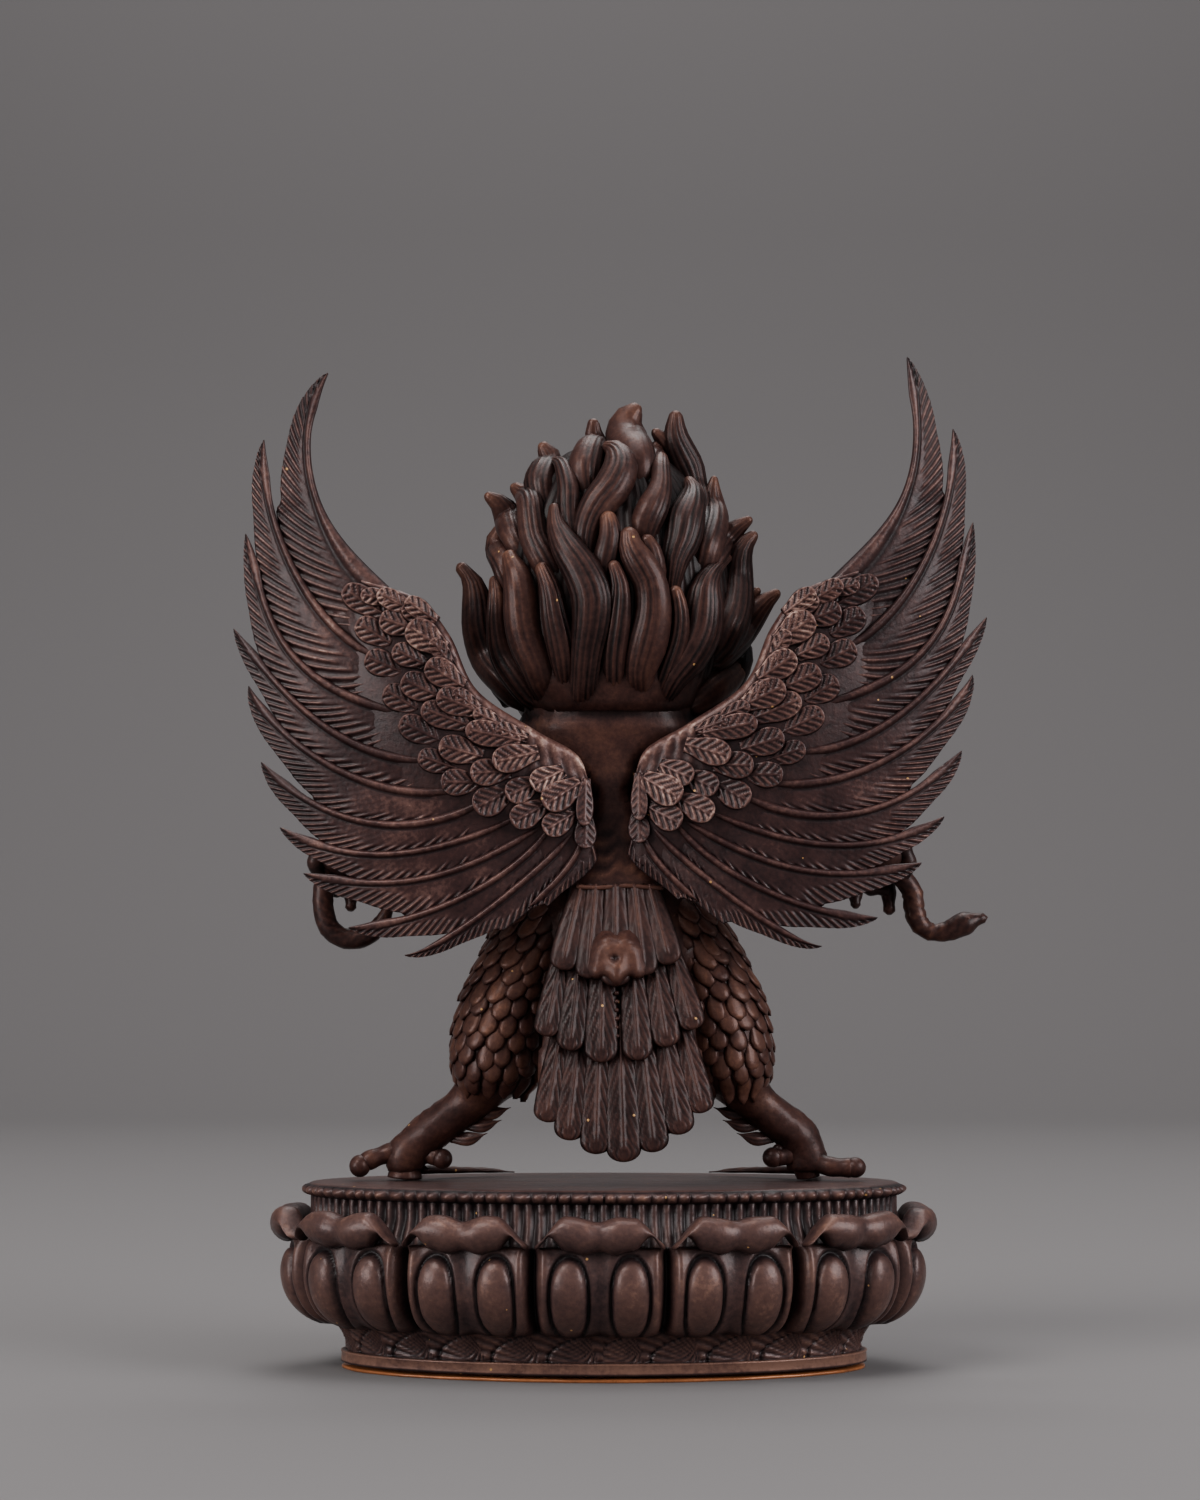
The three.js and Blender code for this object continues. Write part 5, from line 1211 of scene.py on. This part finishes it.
def long_feather(shells, index, side):
    """A feather whose rows of points run along its barbs, from the shaft to the edge that is met first."""
    root, tip, start, end, first, last, free = FEATHERS[index]
    if side < 0 and index == 0:
        tip, end, last = (26.4, 50.3), 124, 0.3
    else:
        grown = 0.7 if index else 0.1
        tip = (tip[0] + grown * math.cos(math.radians(end)), tip[1] + grown * math.sin(math.radians(end)))
    curve = bezier(root, tip, start, end, first, last)
    line = Line(curve, 1)
    share = np.linspace(0, 1, len(curve))
    if index + 1 < len(FEATHERS):
        reach = vane_reach(curve, bezier(*FEATHERS[index + 1][:6]))
        reach = np.minimum(reach, lerp(7.5, 4.2, smooth(share * 2)))
        reach = np.maximum(reach, 1.2 if index < 8 else 0.9)
    else:
        reach = lerp(1.9, 0.9, smooth(share * 1.5))
    reach = np.convolve(np.pad(reach, 4, mode="edge"), np.ones(9) / 9, mode="valid")
    at_notch = np.interp(free, share, reach)

    def width(t):
        u = np.clip((t - free) / (1 - free), 0, 1)
        loose = at_notch * (1 - 0.14 * smooth(u / 0.08)) * lerp(1, 0.68, smooth(u / 0.5))
        loose = loose * (1 - u**2.4) ** 0.8
        return np.where(t < free, np.interp(t, share, reach) + 0.3, loose + 0.3 * (1 - smooth(u / 0.05)))

    pitch = (1.24 if index < 4 else 1.05) if index < 9 else 0.85
    knots = [-7.5 if index < 8 else -2.4]
    while knots[-1] < line.length:
        knots.append(knots[-1] + pitch * lerp(0.85, 1.15, chance(index, len(knots), side)))
    knots = np.array(knots)
    barb = np.arange(0, len(knots) - 1.001, 0.2)
    q = np.interp(barb, np.arange(len(knots)), knots)
    q = np.append(q[q < line.length * 0.997], line.length * 0.999)
    barb = np.interp(q, knots, np.arange(len(knots)))
    shear = (1.3 if index < 6 else 1.0) + 0.25 * smooth((q + 7.5) / 8) + 0.6 * smooth(q / line.length)
    start_a = np.clip((-2.4 - q) / shear, 0, None)
    tries = np.arange(0.02, 8.6, 0.04)[None]
    inside = tries < width(np.clip((q[:, None] + shear[:, None] * tries) / line.length, 0, 1))
    inside |= tries < start_a[:, None]
    reached = 0.04 * np.where(inside.all(axis=1), tries.size, np.argmin(inside, axis=1)) + 0.02
    t_row = np.clip(q / line.length, 0, 1)
    strong = 0.42 * (1 - smooth(t_row * 2.2)) if index == 0 else 0.0
    shaft_half = lerp(0.44 if index < 6 else 0.34, 0.3, smooth(t_row * 1.6)) + strong
    shaft_half = shaft_half + (0.2 if index < 9 else -0.12) * smooth((t_row - 0.72) / 0.2)
    shaft_half = shaft_half * np.clip((1 - t_row) / 0.16, 0.01, 1) ** 0.8
    lead = shaft_half * 1.25
    shaft = np.array([-1.0, -0.8, -0.4, 0.0, 0.4, 0.8, 1.0, 1.35])
    outer = np.maximum(reached, start_a + shaft_half * 1.6)
    field = np.linspace(0, 1, 23)[1:]
    first_a = start_a + 1.35 * shaft_half
    a = np.concatenate([
        start_a[:, None] - lead[:, None], start_a[:, None] + shaft[None] * shaft_half[:, None],
        lerp(first_a[:, None], outer[:, None], field[None]),
    ], axis=1)
    across = np.clip(a / outer[:, None], 0, 1)
    s = q[:, None] + shear[:, None] * np.clip(a, 0, None)
    t = np.clip(s / line.length, 0, 1)
    loose_part = smooth((t - free + 0.03) / 0.08)
    ridge = arch(a / shaft_half[:, None], 2)
    ridge = ridge * (q[:, None] > -2.4)
    height = 0.24 - lerp(0.5, 0.26, loose_part) * across
    height = height + 0.42 * lerp(1.0, 0.35, smooth((t - 0.55) / 0.35)) * ridge
    height = height - 0.1 * pulse(a / shaft_half[:, None], 1.35, 0.3)
    height = height - 0.12 * (a < -shaft_half[:, None] * 1.1)
    number = np.floor(barb + 0.1)[:, None]
    luck = chances(number * 12.9 + index * 7.7 + side)
    begin = lerp(lerp(0.34, 0.58, smooth(index / 6)), 0.38, loose_part)
    begin = begin + 0.24 * (luck - 0.5) * (1 - 0.5 * loose_part)
    rise = smooth((across - begin) / 0.16) * smooth((1 - t) / 0.05)
    crest = pulse(np.mod(barb + 0.1, 1.0), 0.5, 0.22)[:, None]
    low_lines = 0.35 * smooth((across - 0.1) / 0.1) * (1 - rise)
    height = height + (0.3 * crest - 0.12) * rise + 0.04 * crest * low_lines
    # Painted light and shade: the barb crests and the shaft are lighter and the troughs darker, and the
    # strips tucked under the neighbouring feathers are painted dark as shade.
    wear = 0.45 + 0.27 * crest * rise - 0.12 * (1 - crest) * rise + 0.13 * ridge + 0.08 * crest * low_lines
    wear = wear - 0.24 * pulse(a / shaft_half[:, None], 1.3, 0.3)
    wear = wear - 0.3 * (a < -shaft_half[:, None] * 1.05) * (1 - loose_part)
    wear = wear - 0.25 * (1 - loose_part) * smooth((across - 0.92) / 0.08)
    thin = lerp(1.0, 0.8, t)
    out = height * thin
    back_a = np.stack([outer * 0.96, lerp(start_a, outer, 0.5), start_a - lead * 0.85], axis=1)
    back_s = q[:, None] + shear[:, None] * np.clip(back_a, 0, None)
    back_out = np.stack([out[:, -1] - 0.32, np.full(len(q), -0.62), np.full(len(q), -0.34)], axis=1)
    a, s = np.concatenate([a, back_a], axis=1), np.concatenate([s, back_s], axis=1)
    out = np.concatenate([out, back_out], axis=1)
    wear = np.concatenate([np.clip(wear, 0, 1), np.full((len(q), 3), 0.4)], axis=1)
    t = np.clip(s / line.length, 0, 1)
    shape = t.shape
    middle, along = line.at(t.ravel()).reshape(*shape, 2), line.along(t.ravel()).reshape(*shape, 2)
    middle = middle + (np.clip(s, None, 0) + np.clip(s - line.length, 0, None) * 0.3)[..., None] * along
    x = middle[..., 0] + along[..., 1] * a
    z = middle[..., 1] - along[..., 0] * a
    shells.grid(wing_points(x, z, out, side), wear)


def wing_arm(shells, side):
    """The thick arm of the wing, from its rubbed leading edge to where the long feathers begin."""
    leading = Line([(x, 0, z) for x, z in LEADING_EDGE])
    trailing = Line([(x, 0, z) for x, z in COVERT_EDGE])
    t = np.linspace(0.02, 0.985, 200)
    a, b = leading.at(t), trailing.at(t)
    full = np.sin(math.pi * lerp(0.16, 0.9, t)) ** 0.5
    angle = np.linspace(0, TAU, 32, endpoint=False)
    across = 0.53 - 0.56 * np.cos(angle)
    across = np.where(across > 0.8, across + (across - 0.8) * 0.9, across)
    top = np.sin(angle)
    out = np.where(top > 0, 0.1 + 0.95 * np.abs(top) ** 0.7, -0.7 * np.abs(top) ** 0.8)
    out = np.where(across > 0.9, np.minimum(out, lerp(0.75, -0.1, (across - 0.9) / 0.38)), out)
    x = a[:, :1] + (b - a)[:, :1] * across
    z = a[:, 2:] + (b - a)[:, 2:] * across
    height = out * full[:, None] + 0.35 * pulse(across, 0.03, 0.06) * (top > 0)
    lumps = 0.5 + 0.5 * np.sin(t[:, None] * 95 + 2 * np.sin(t[:, None] * 31))
    height = height + 0.12 * lumps * pulse(across, 0.08, 0.07) * (top > 0)
    hatch = 0.5 + 0.5 * np.sin(t[:, None] * 150 + across * 14)
    shoulder = smooth((0.34 - t[:, None]) / 0.1) * pulse(across, 0.3, 0.2) * (top > 0)
    height = height + 0.14 * hatch * shoulder
    wear = 0.44 + 0.2 * pulse(across, 0.03, 0.08) + 0.12 * lumps * pulse(across, 0.08, 0.1)
    wear = wear + (0.06 + 0.2 * hatch) * shoulder + 0 * x
    shells.grid(wing_points(x, z, height, side), wear)


def leaf(shells, x, z, heading, length, width, base, side, seed):
    """A short round-ended feather with a shaft, a rim and barbs that bend towards the end."""
    end = 1 - 0.12 * np.cos(np.linspace(0.2, math.pi / 2, 6))
    v = np.concatenate([np.linspace(0, 0.88, 22), end])[:, None]
    u = np.linspace(-1, 1, 19)[None]
    tip = np.clip((v - 0.6) / 0.4, 0, 0.9995)
    half = width / 2 * np.where(v < 0.6, lerp(0.55, 1, smooth(v / 0.6)), np.sqrt(1 - tip**2.2))
    along, aside = (v - 0.5) * length + 0 * u, half * u
    shaft = pulse(aside, 0, 0.14) * smooth((0.94 - v) / 0.12)
    phase = (along + length - np.abs(aside) * (1.35 - 0.35 * np.abs(u))) / 0.84 + 0.2 * seed
    crest = np.exp(-(((np.mod(phase, 1.0) - 0.5) / 0.34) ** 4))
    outline = np.maximum(np.abs(u), tip**0.9)
    rim = pulse(outline, 0.88, 0.08)
    inside = smooth((0.84 - outline) / 0.1) * smooth((np.abs(aside) - 0.12) / 0.12)
    edge = smooth((1 - np.abs(u)) / 0.09)
    height = base + lerp(-0.25, 0.32, v) + 0.24 * arch(u, 4)
    strong = 0.6 if heading < -80 else 1.0
    height = height + (0.2 * shaft + (0.28 * crest - 0.12) * inside + 0.14 * rim) * strong
    # Painted light and shade: leaves that lie higher are lighter, the rim and barb crests are lighter, and
    # the edges are painted dark as shade.
    barbs = 0.25 * crest * inside - 0.16 * (1 - crest) * inside
    wear = 0.42 + 0.2 * (base - 0.9) + (0.24 * shaft + barbs) * strong
    wear = wear + 0.28 * rim * strong - 0.36 * (1 - edge)
    c, s_ = math.cos(math.radians(heading)), math.sin(math.radians(heading))
    px, pz = x + c * along + s_ * aside, z + s_ * along - c * aside
    inner = slice(2, None, 7)
    front = wing_points(px, pz, height, side)
    back = wing_points(*(under(v, inner) for v in (px, pz, height - 0.7)), side)
    shells.flake(front, back, wear, 0.15)


# The short feathers over the arm, in rows from the arm's trailing edge up: middle, heading, length and width.
COVERTS = [
    (0.8, [
        (22.7, 25.2, 33, 5.5, 2.9), (21.8, 21.9, 36, 4.3, 2.9), (20.8, 18.5, 28, 4.2, 3.0),
        (19.0, 14.7, 32, 4.1, 2.9), (17.0, 11.3, 26, 4.9, 2.9), (15.3, 8.0, 19, 4.2, 2.6),
        (12.9, 5.8, -1, 4.1, 2.9), (9.5, 4.0, -29, 4.5, 3.3), (-0.1, 0.6, -88, 3.9, 2.3),
    ]),
    (1.08, [
        (19.2, 22.7, 21, 4.0, 2.9), (18.1, 19.2, 28, 3.7, 2.6), (16.8, 15.8, 26, 4.6, 3.1),
        (14.3, 12.7, 22, 5.5, 2.9), (12.8, 9.1, 18, 4.7, 3.1), (9.7, 6.8, -3, 4.3, 3.0),
        (6.4, 5.0, -25, 3.8, 2.9), (5.8, 2.4, -29, 4.2, 2.9), (2.6, 1.5, -28, 3.9, 2.9),
    ]),
    (1.34, [
        (19.4, 25.0, 32, 4.3, 2.3), (16.7, 24.0, 37, 4.0, 2.2), (16.2, 21.1, 35, 4.7, 3.4),
        (14.3, 17.1, 34, 4.6, 3.1), (13.0, 14.1, 26, 4.7, 3.1), (9.4, 10.7, 11, 5.8, 2.8),
        (7.1, 8.3, -16, 4.9, 3.0), (3.8, 6.1, -25, 3.8, 2.8), (2.3, 4.4, -31, 4.6, 3.3),
        (-0.1, 3.5, -89, 5.0, 1.8),
    ]),
]


BORDER_LEAVES, BORDER_INSET = 9, 1.35  # along the leading edge
WEB_MIDDLE, WEB_RADII = (25.2, 21.6), (1.9, 3.4)  # a thin web under the gap between arm and longest feather


def coverts(shells, side):
    """The rows of short feathers, a border along the leading edge, and the web under the longest feather."""
    for layer, (base, leaves) in enumerate(COVERTS):
        for k, (x, z, heading, length, width) in enumerate(leaves):
            luck = chance(k, layer, side)
            turn = heading + (2 if side > 0 else 7) * (luck - 0.5)
            length, width = length * 1.02, width * lerp(1.0, 1.08, luck)
            leaf(shells, x, z, turn, length, width, base + 0.1 * luck, side, luck)
    border = Line(LEADING_EDGE, 12)
    for k in range(BORDER_LEAVES):
        t = lerp(0.3, 0.92, k / (BORDER_LEAVES - 1))
        (x, z), (ax, az) = border.at(np.array([t])).reshape(2), border.along(np.array([t])).reshape(2)
        x, z = x + BORDER_INSET * az, z - BORDER_INSET * ax
        turn = math.degrees(math.atan2(az, ax)) - 14 + 8 * chance(k, 7, side)
        leaf(shells, x, z, turn, 3.6, 2.0, 1.15 + 0.12 * chance(k, 5, side), side, chance(k, 3, side))
    a = np.linspace(0, TAU, 24, endpoint=False)
    rows = []
    for size, out in ((0.7, -0.62), (1, -0.5), (1, -0.25), (0.7, -0.1)):
        x = WEB_MIDDLE[0] + size * WEB_RADII[0] * np.cos(a)
        z = WEB_MIDDLE[1] + size * WEB_RADII[1] * np.sin(a)
        rows.append(wing_points(x, z, out + 0 * a, side))
    shells.grid(np.stack(rows), 0.4)


def root_plug(shells, side):
    """The oval root that sits in its seat in the back."""
    outer, inner, around = -8.3, -4.32, 48
    a = np.linspace(0, TAU, around, endpoint=False)
    x = side * (WING_ROOT_X + ROOT_MIDDLE[0]) + FIGURE_X + ROOT_RADII[0] * np.cos(a)
    z = WING_ROOT_Z + side * WING_SET + ROOT_MIDDLE[1] + FIGURE_Z + ROOT_RADII[1] * np.sin(a)
    rows = [np.stack([x, np.full(around, y), z], -1) for y in np.linspace(outer, inner, 5)]
    shells.grid(np.stack(rows), 0.3)


def wing(side):
    shells = Shells()
    for index in range(len(FEATHERS)):
        long_feather(shells, index, side)
    wing_arm(shells, side)
    coverts(shells, side)
    root_plug(shells, side)
    return shells


# Materials. Lengths are in metres.
PAINTED_OCCLUSION_REACH, BUMP_REACH = 0.0014, 0.00025
SPECK_CELLS, PIT_CELLS = 620, 330
SPECK_COLOUR = (0.5, 0.27, 0.1, 1)
METALLIC, COAT, COAT_ROUGHNESS = 0.25, 0.09, 0.2


def copper(name, stops, specks=1.0, gloss=0.4, grain=1.0, ior=1.32):
    """Oxidised copper: dark in the crevices from patina and from painted shade by ambient occlusion, warm
    where it is rubbed, with pits and small bright specks.
    """
    mat = bpy.data.materials.new(name)
    mat.use_nodes = True
    nodes, links = mat.node_tree.nodes, mat.node_tree.links
    shader = nodes["Principled BSDF"]

    def node(kind, **settings):
        made = nodes.new(kind)
        for key, value in settings.items():
            if hasattr(made, key):
                setattr(made, key, value)
            else:
                made.inputs[key.replace("_", " ")].default_value = value
        return made

    def join(a, b):
        links.new(a, b)

    def math_node(operation, a, b=0.5, c=0.0):
        made = node("ShaderNodeMath", operation=operation)
        for k, v in enumerate((a, b, c)):
            if isinstance(v, (int, float)):
                made.inputs[k].default_value = v
            else:
                join(v, made.inputs[k])
        return made.outputs[0]

    def noise(scale, detail, rough):
        made = node("ShaderNodeTexNoise", Scale=scale, Detail=detail, Roughness=rough)
        join(coords.outputs["Object"], made.inputs["Vector"])
        return made.outputs["Fac"]

    def cells(scale):
        made = node("ShaderNodeTexVoronoi", feature="F1", Scale=scale)
        join(coords.outputs["Object"], made.inputs["Vector"])
        split = node("ShaderNodeSeparateColor")
        join(made.outputs["Color"], split.inputs[0])
        return made.outputs["Distance"], split.outputs[0]

    coords = node("ShaderNodeTexCoord")
    wear = node("ShaderNodeAttribute", attribute_type="GEOMETRY", attribute_name="wear").outputs["Fac"]
    broad, middle, fine = noise(70, 3, 0.5), noise(320, 4, 0.6), noise(1900, 3, 0.6)
    # Painted shade: ambient occlusion darkens the colour in crevices and between parts.
    painted_occlusion = node("ShaderNodeAmbientOcclusion", samples=8)
    painted_occlusion.inputs["Distance"].default_value = PAINTED_OCCLUSION_REACH
    painted_occlusion_shade = math_node("POWER", painted_occlusion.outputs["AO"], 1.2)
    worn_and_shaded = math_node("MULTIPLY_ADD", math_node("SUBTRACT", broad, 0.5), 0.5, wear)
    worn_and_shaded = math_node("MULTIPLY_ADD", math_node("SUBTRACT", middle, 0.5), 0.55, worn_and_shaded)
    worn_and_shaded = math_node("MULTIPLY_ADD", math_node("SUBTRACT", fine, 0.5), 0.5, worn_and_shaded)
    worn_and_shaded = math_node("MULTIPLY", worn_and_shaded, math_node("MULTIPLY_ADD", painted_occlusion_shade, 0.38, 0.62))
    ramp = node("ShaderNodeValToRGB")
    band = ramp.color_ramp
    while len(band.elements) < len(stops):
        band.elements.new(0.5)
    for element, (place, colour) in zip(band.elements, stops):
        element.position, element.color = place, (*colour, 1)
    join(worn_and_shaded, ramp.inputs[0])
    distance, number = cells(SPECK_CELLS)
    near = math_node("LESS_THAN", distance, 0.085)
    chosen = math_node("GREATER_THAN", number, 1 - 0.1 * specks)
    speck = math_node("MULTIPLY", near, chosen)
    gold = node("ShaderNodeMix", data_type="RGBA")
    join(speck, gold.inputs["Factor"])
    join(ramp.outputs[0], gold.inputs["A"])
    gold.inputs["B"].default_value = SPECK_COLOUR
    join(gold.outputs["Result"], shader.inputs["Base Color"])
    rough = math_node("MULTIPLY_ADD", math_node("SUBTRACT", middle, 0.5), 0.35, gloss + 0.11)
    rough = math_node("MULTIPLY_ADD", wear, -0.2, rough)
    join(rough, shader.inputs["Roughness"])
    shader.inputs["Metallic"].default_value = METALLIC
    shader.inputs["IOR"].default_value = ior
    shader.inputs["Coat Weight"].default_value = COAT
    shader.inputs["Coat Roughness"].default_value = COAT_ROUGHNESS
    distance, number = cells(PIT_CELLS)
    pit = math_node("SMOOTH_MIN", math_node("MULTIPLY", distance, 6.0), 1.0, 0.3)
    rare = math_node("GREATER_THAN", number, 0.86)
    dent = math_node("MULTIPLY", math_node("SUBTRACT", 1.0, pit), rare)
    relief = math_node("MULTIPLY_ADD", middle, 0.5, math_node("MULTIPLY", fine, 0.35))
    relief = math_node("SUBTRACT", relief, math_node("MULTIPLY", dent, 0.7))
    bump = node("ShaderNodeBump", Strength=0.5 * grain, Distance=BUMP_REACH)
    join(relief, bump.inputs["Height"])
    join(bump.outputs[0], shader.inputs["Normal"])
    return mat


# Places on the way from a crevice in painted shade to a rubbed crest with painted light, with the copper's
# colour there
BODY_STOPS = [
    (0.0, (0.004, 0.0022, 0.0022)), (0.3, (0.021, 0.0092, 0.0084)), (0.52, (0.046, 0.0188, 0.0152)),
    (0.75, (0.086, 0.036, 0.0245)), (1.0, (0.2, 0.085, 0.05)),
]
# The wing's brightest stop is partly a painted highlight on the crests and rims.
WING_STOPS = [
    (0.0, (0.003, 0.002, 0.0022)), (0.3, (0.017, 0.0074, 0.0078)), (0.52, (0.038, 0.0152, 0.014)),
    (0.75, (0.122, 0.057, 0.046)), (1.0, (0.52, 0.34, 0.27)),
]
BASE_STOPS = [
    (0.0, (0.004, 0.0027, 0.0032)), (0.3, (0.022, 0.0122, 0.0128)), (0.52, (0.055, 0.028, 0.0255)),
    (0.75, (0.094, 0.0465, 0.038)), (1.0, (0.21, 0.107, 0.076)),
]
SHEET_STOPS = [(0.0, (0.05, 0.02, 0.012)), (0.45, (0.3, 0.1, 0.035)), (1.0, (0.72, 0.3, 0.11))]

figure_copper = copper("cast_figure_copper", BODY_STOPS, ior=1.24)
wing_copper = copper("cast_wing_copper", WING_STOPS, grain=1.2, ior=1.34)
base_copper = copper("cast_pedestal_copper", BASE_STOPS, specks=1.6)
sheet_copper = copper("rolled_sheet_copper", SHEET_STOPS, specks=0.0, gloss=0.3, grain=0.4)
piece("cast_figure", garuda_figure(), figure_copper, "garuda_figure")
piece("cast_wing_right", wing(1), wing_copper, "right_wing")
piece("cast_wing_left", wing(-1), wing_copper, "left_wing")
piece("cast_pedestal", lotus_base(), base_copper, "lotus_base")
piece("closing_sheet", base_plate(), sheet_copper, "base_plate")


# Studio, in metres
FLOOR_HALF, FLOOR_FRONT, WALL_FOOT, WALL_BEND, WALL_TOP = 3, -1.6, 0.8, 0.5, 2.6
PAPER = (0.142, 0.1325, 0.1325)
# Each soft lamp: place, target, size, watts and colour
LAMPS = {
    "key": ((-0.38, -0.45, 0.62), (0, 0, 0.05), 0.4, 4.0, (1.0, 0.985, 0.96)),
    "right_fill": ((0.62, -0.36, 0.3), (0, 0, 0.05), 0.5, 5.6, (0.98, 0.98, 1.0)),
    "top": ((0.05, -0.05, 0.75), (0, 0, 0.04), 0.5, 2.0, (1, 1, 1)),
    "left_fill": ((-0.6, -0.42, 0.14), (0, 0, 0.03), 0.4, 3.3, (1, 1, 1)),
    "rear": ((0.1, 0.45, 0.85), (0, 0, 0.05), 0.6, 2.4, (1, 1, 1)),
    "backdrop": ((0.0, 0.6, 1.6), (0, 1.3, 1.05), 0.8, 13.5, (1, 1, 1)),
}
SKY, SKY_STRENGTH = (0.75, 0.75, 0.78, 1), 0.42
CAMERA_PLACE, CAMERA_RISE, LENS, SENSOR = (-0.0004, -0.305, 0.0359), 5.65, 67.46, 36


def sweep():
    """A plain paper floor that curves up into a backdrop."""
    profile = [(FLOOR_FRONT, 0.0), (WALL_FOOT, 0.0)]
    for a in np.linspace(0.1, math.pi / 2, 14):
        profile.append((WALL_FOOT + WALL_BEND * math.sin(a), WALL_BEND - WALL_BEND * math.cos(a)))
    profile.append((WALL_FOOT + WALL_BEND, WALL_TOP))
    verts = [(x, y, z) for y, z in profile for x in (-FLOOR_HALF, FLOOR_HALF)]
    faces = [(2 * i, 2 * i + 1, 2 * i + 3, 2 * i + 2) for i in range(len(profile) - 1)]
    me = bpy.data.meshes.new("studio_sweep")
    me.from_pydata(verts, [], faces)
    me.polygons.foreach_set("use_smooth", np.ones(len(faces), bool))
    paper = bpy.data.materials.new("studio_paper")
    paper.use_nodes = True
    shader = paper.node_tree.nodes["Principled BSDF"]
    shader.inputs["Base Color"].default_value = (*PAPER, 1)
    shader.inputs["Roughness"].default_value = 0.9
    me.materials.append(paper)
    ob = placed("studio_sweep", me)


sweep()
for name, (place, target, size, power, colour) in LAMPS.items():
    data = bpy.data.lights.new(name, "AREA")
    data.shape, data.size, data.energy, data.color = "DISK", size, power, colour
    lamp = placed(name, data)
    lamp.location = place
    lamp.rotation_euler = (Vector(target) - Vector(place)).to_track_quat("-Z", "Y").to_euler()
world = bpy.data.worlds.new("studio")
world.use_nodes = True
background = world.node_tree.nodes["Background"]
background.inputs[0].default_value = SKY
background.inputs[1].default_value = SKY_STRENGTH
bpy.context.scene.world = world

camera_data = bpy.data.cameras.new("camera")
camera_data.lens, camera_data.sensor_width, camera_data.sensor_height = LENS, SENSOR, SENSOR
camera_data.sensor_fit = "VERTICAL"
camera_data.clip_start = 0.01
camera = placed("camera", camera_data)
camera.location = CAMERA_PLACE
camera.rotation_euler = (math.radians(90 + CAMERA_RISE), 0, 0)
bpy.context.scene.camera = camera
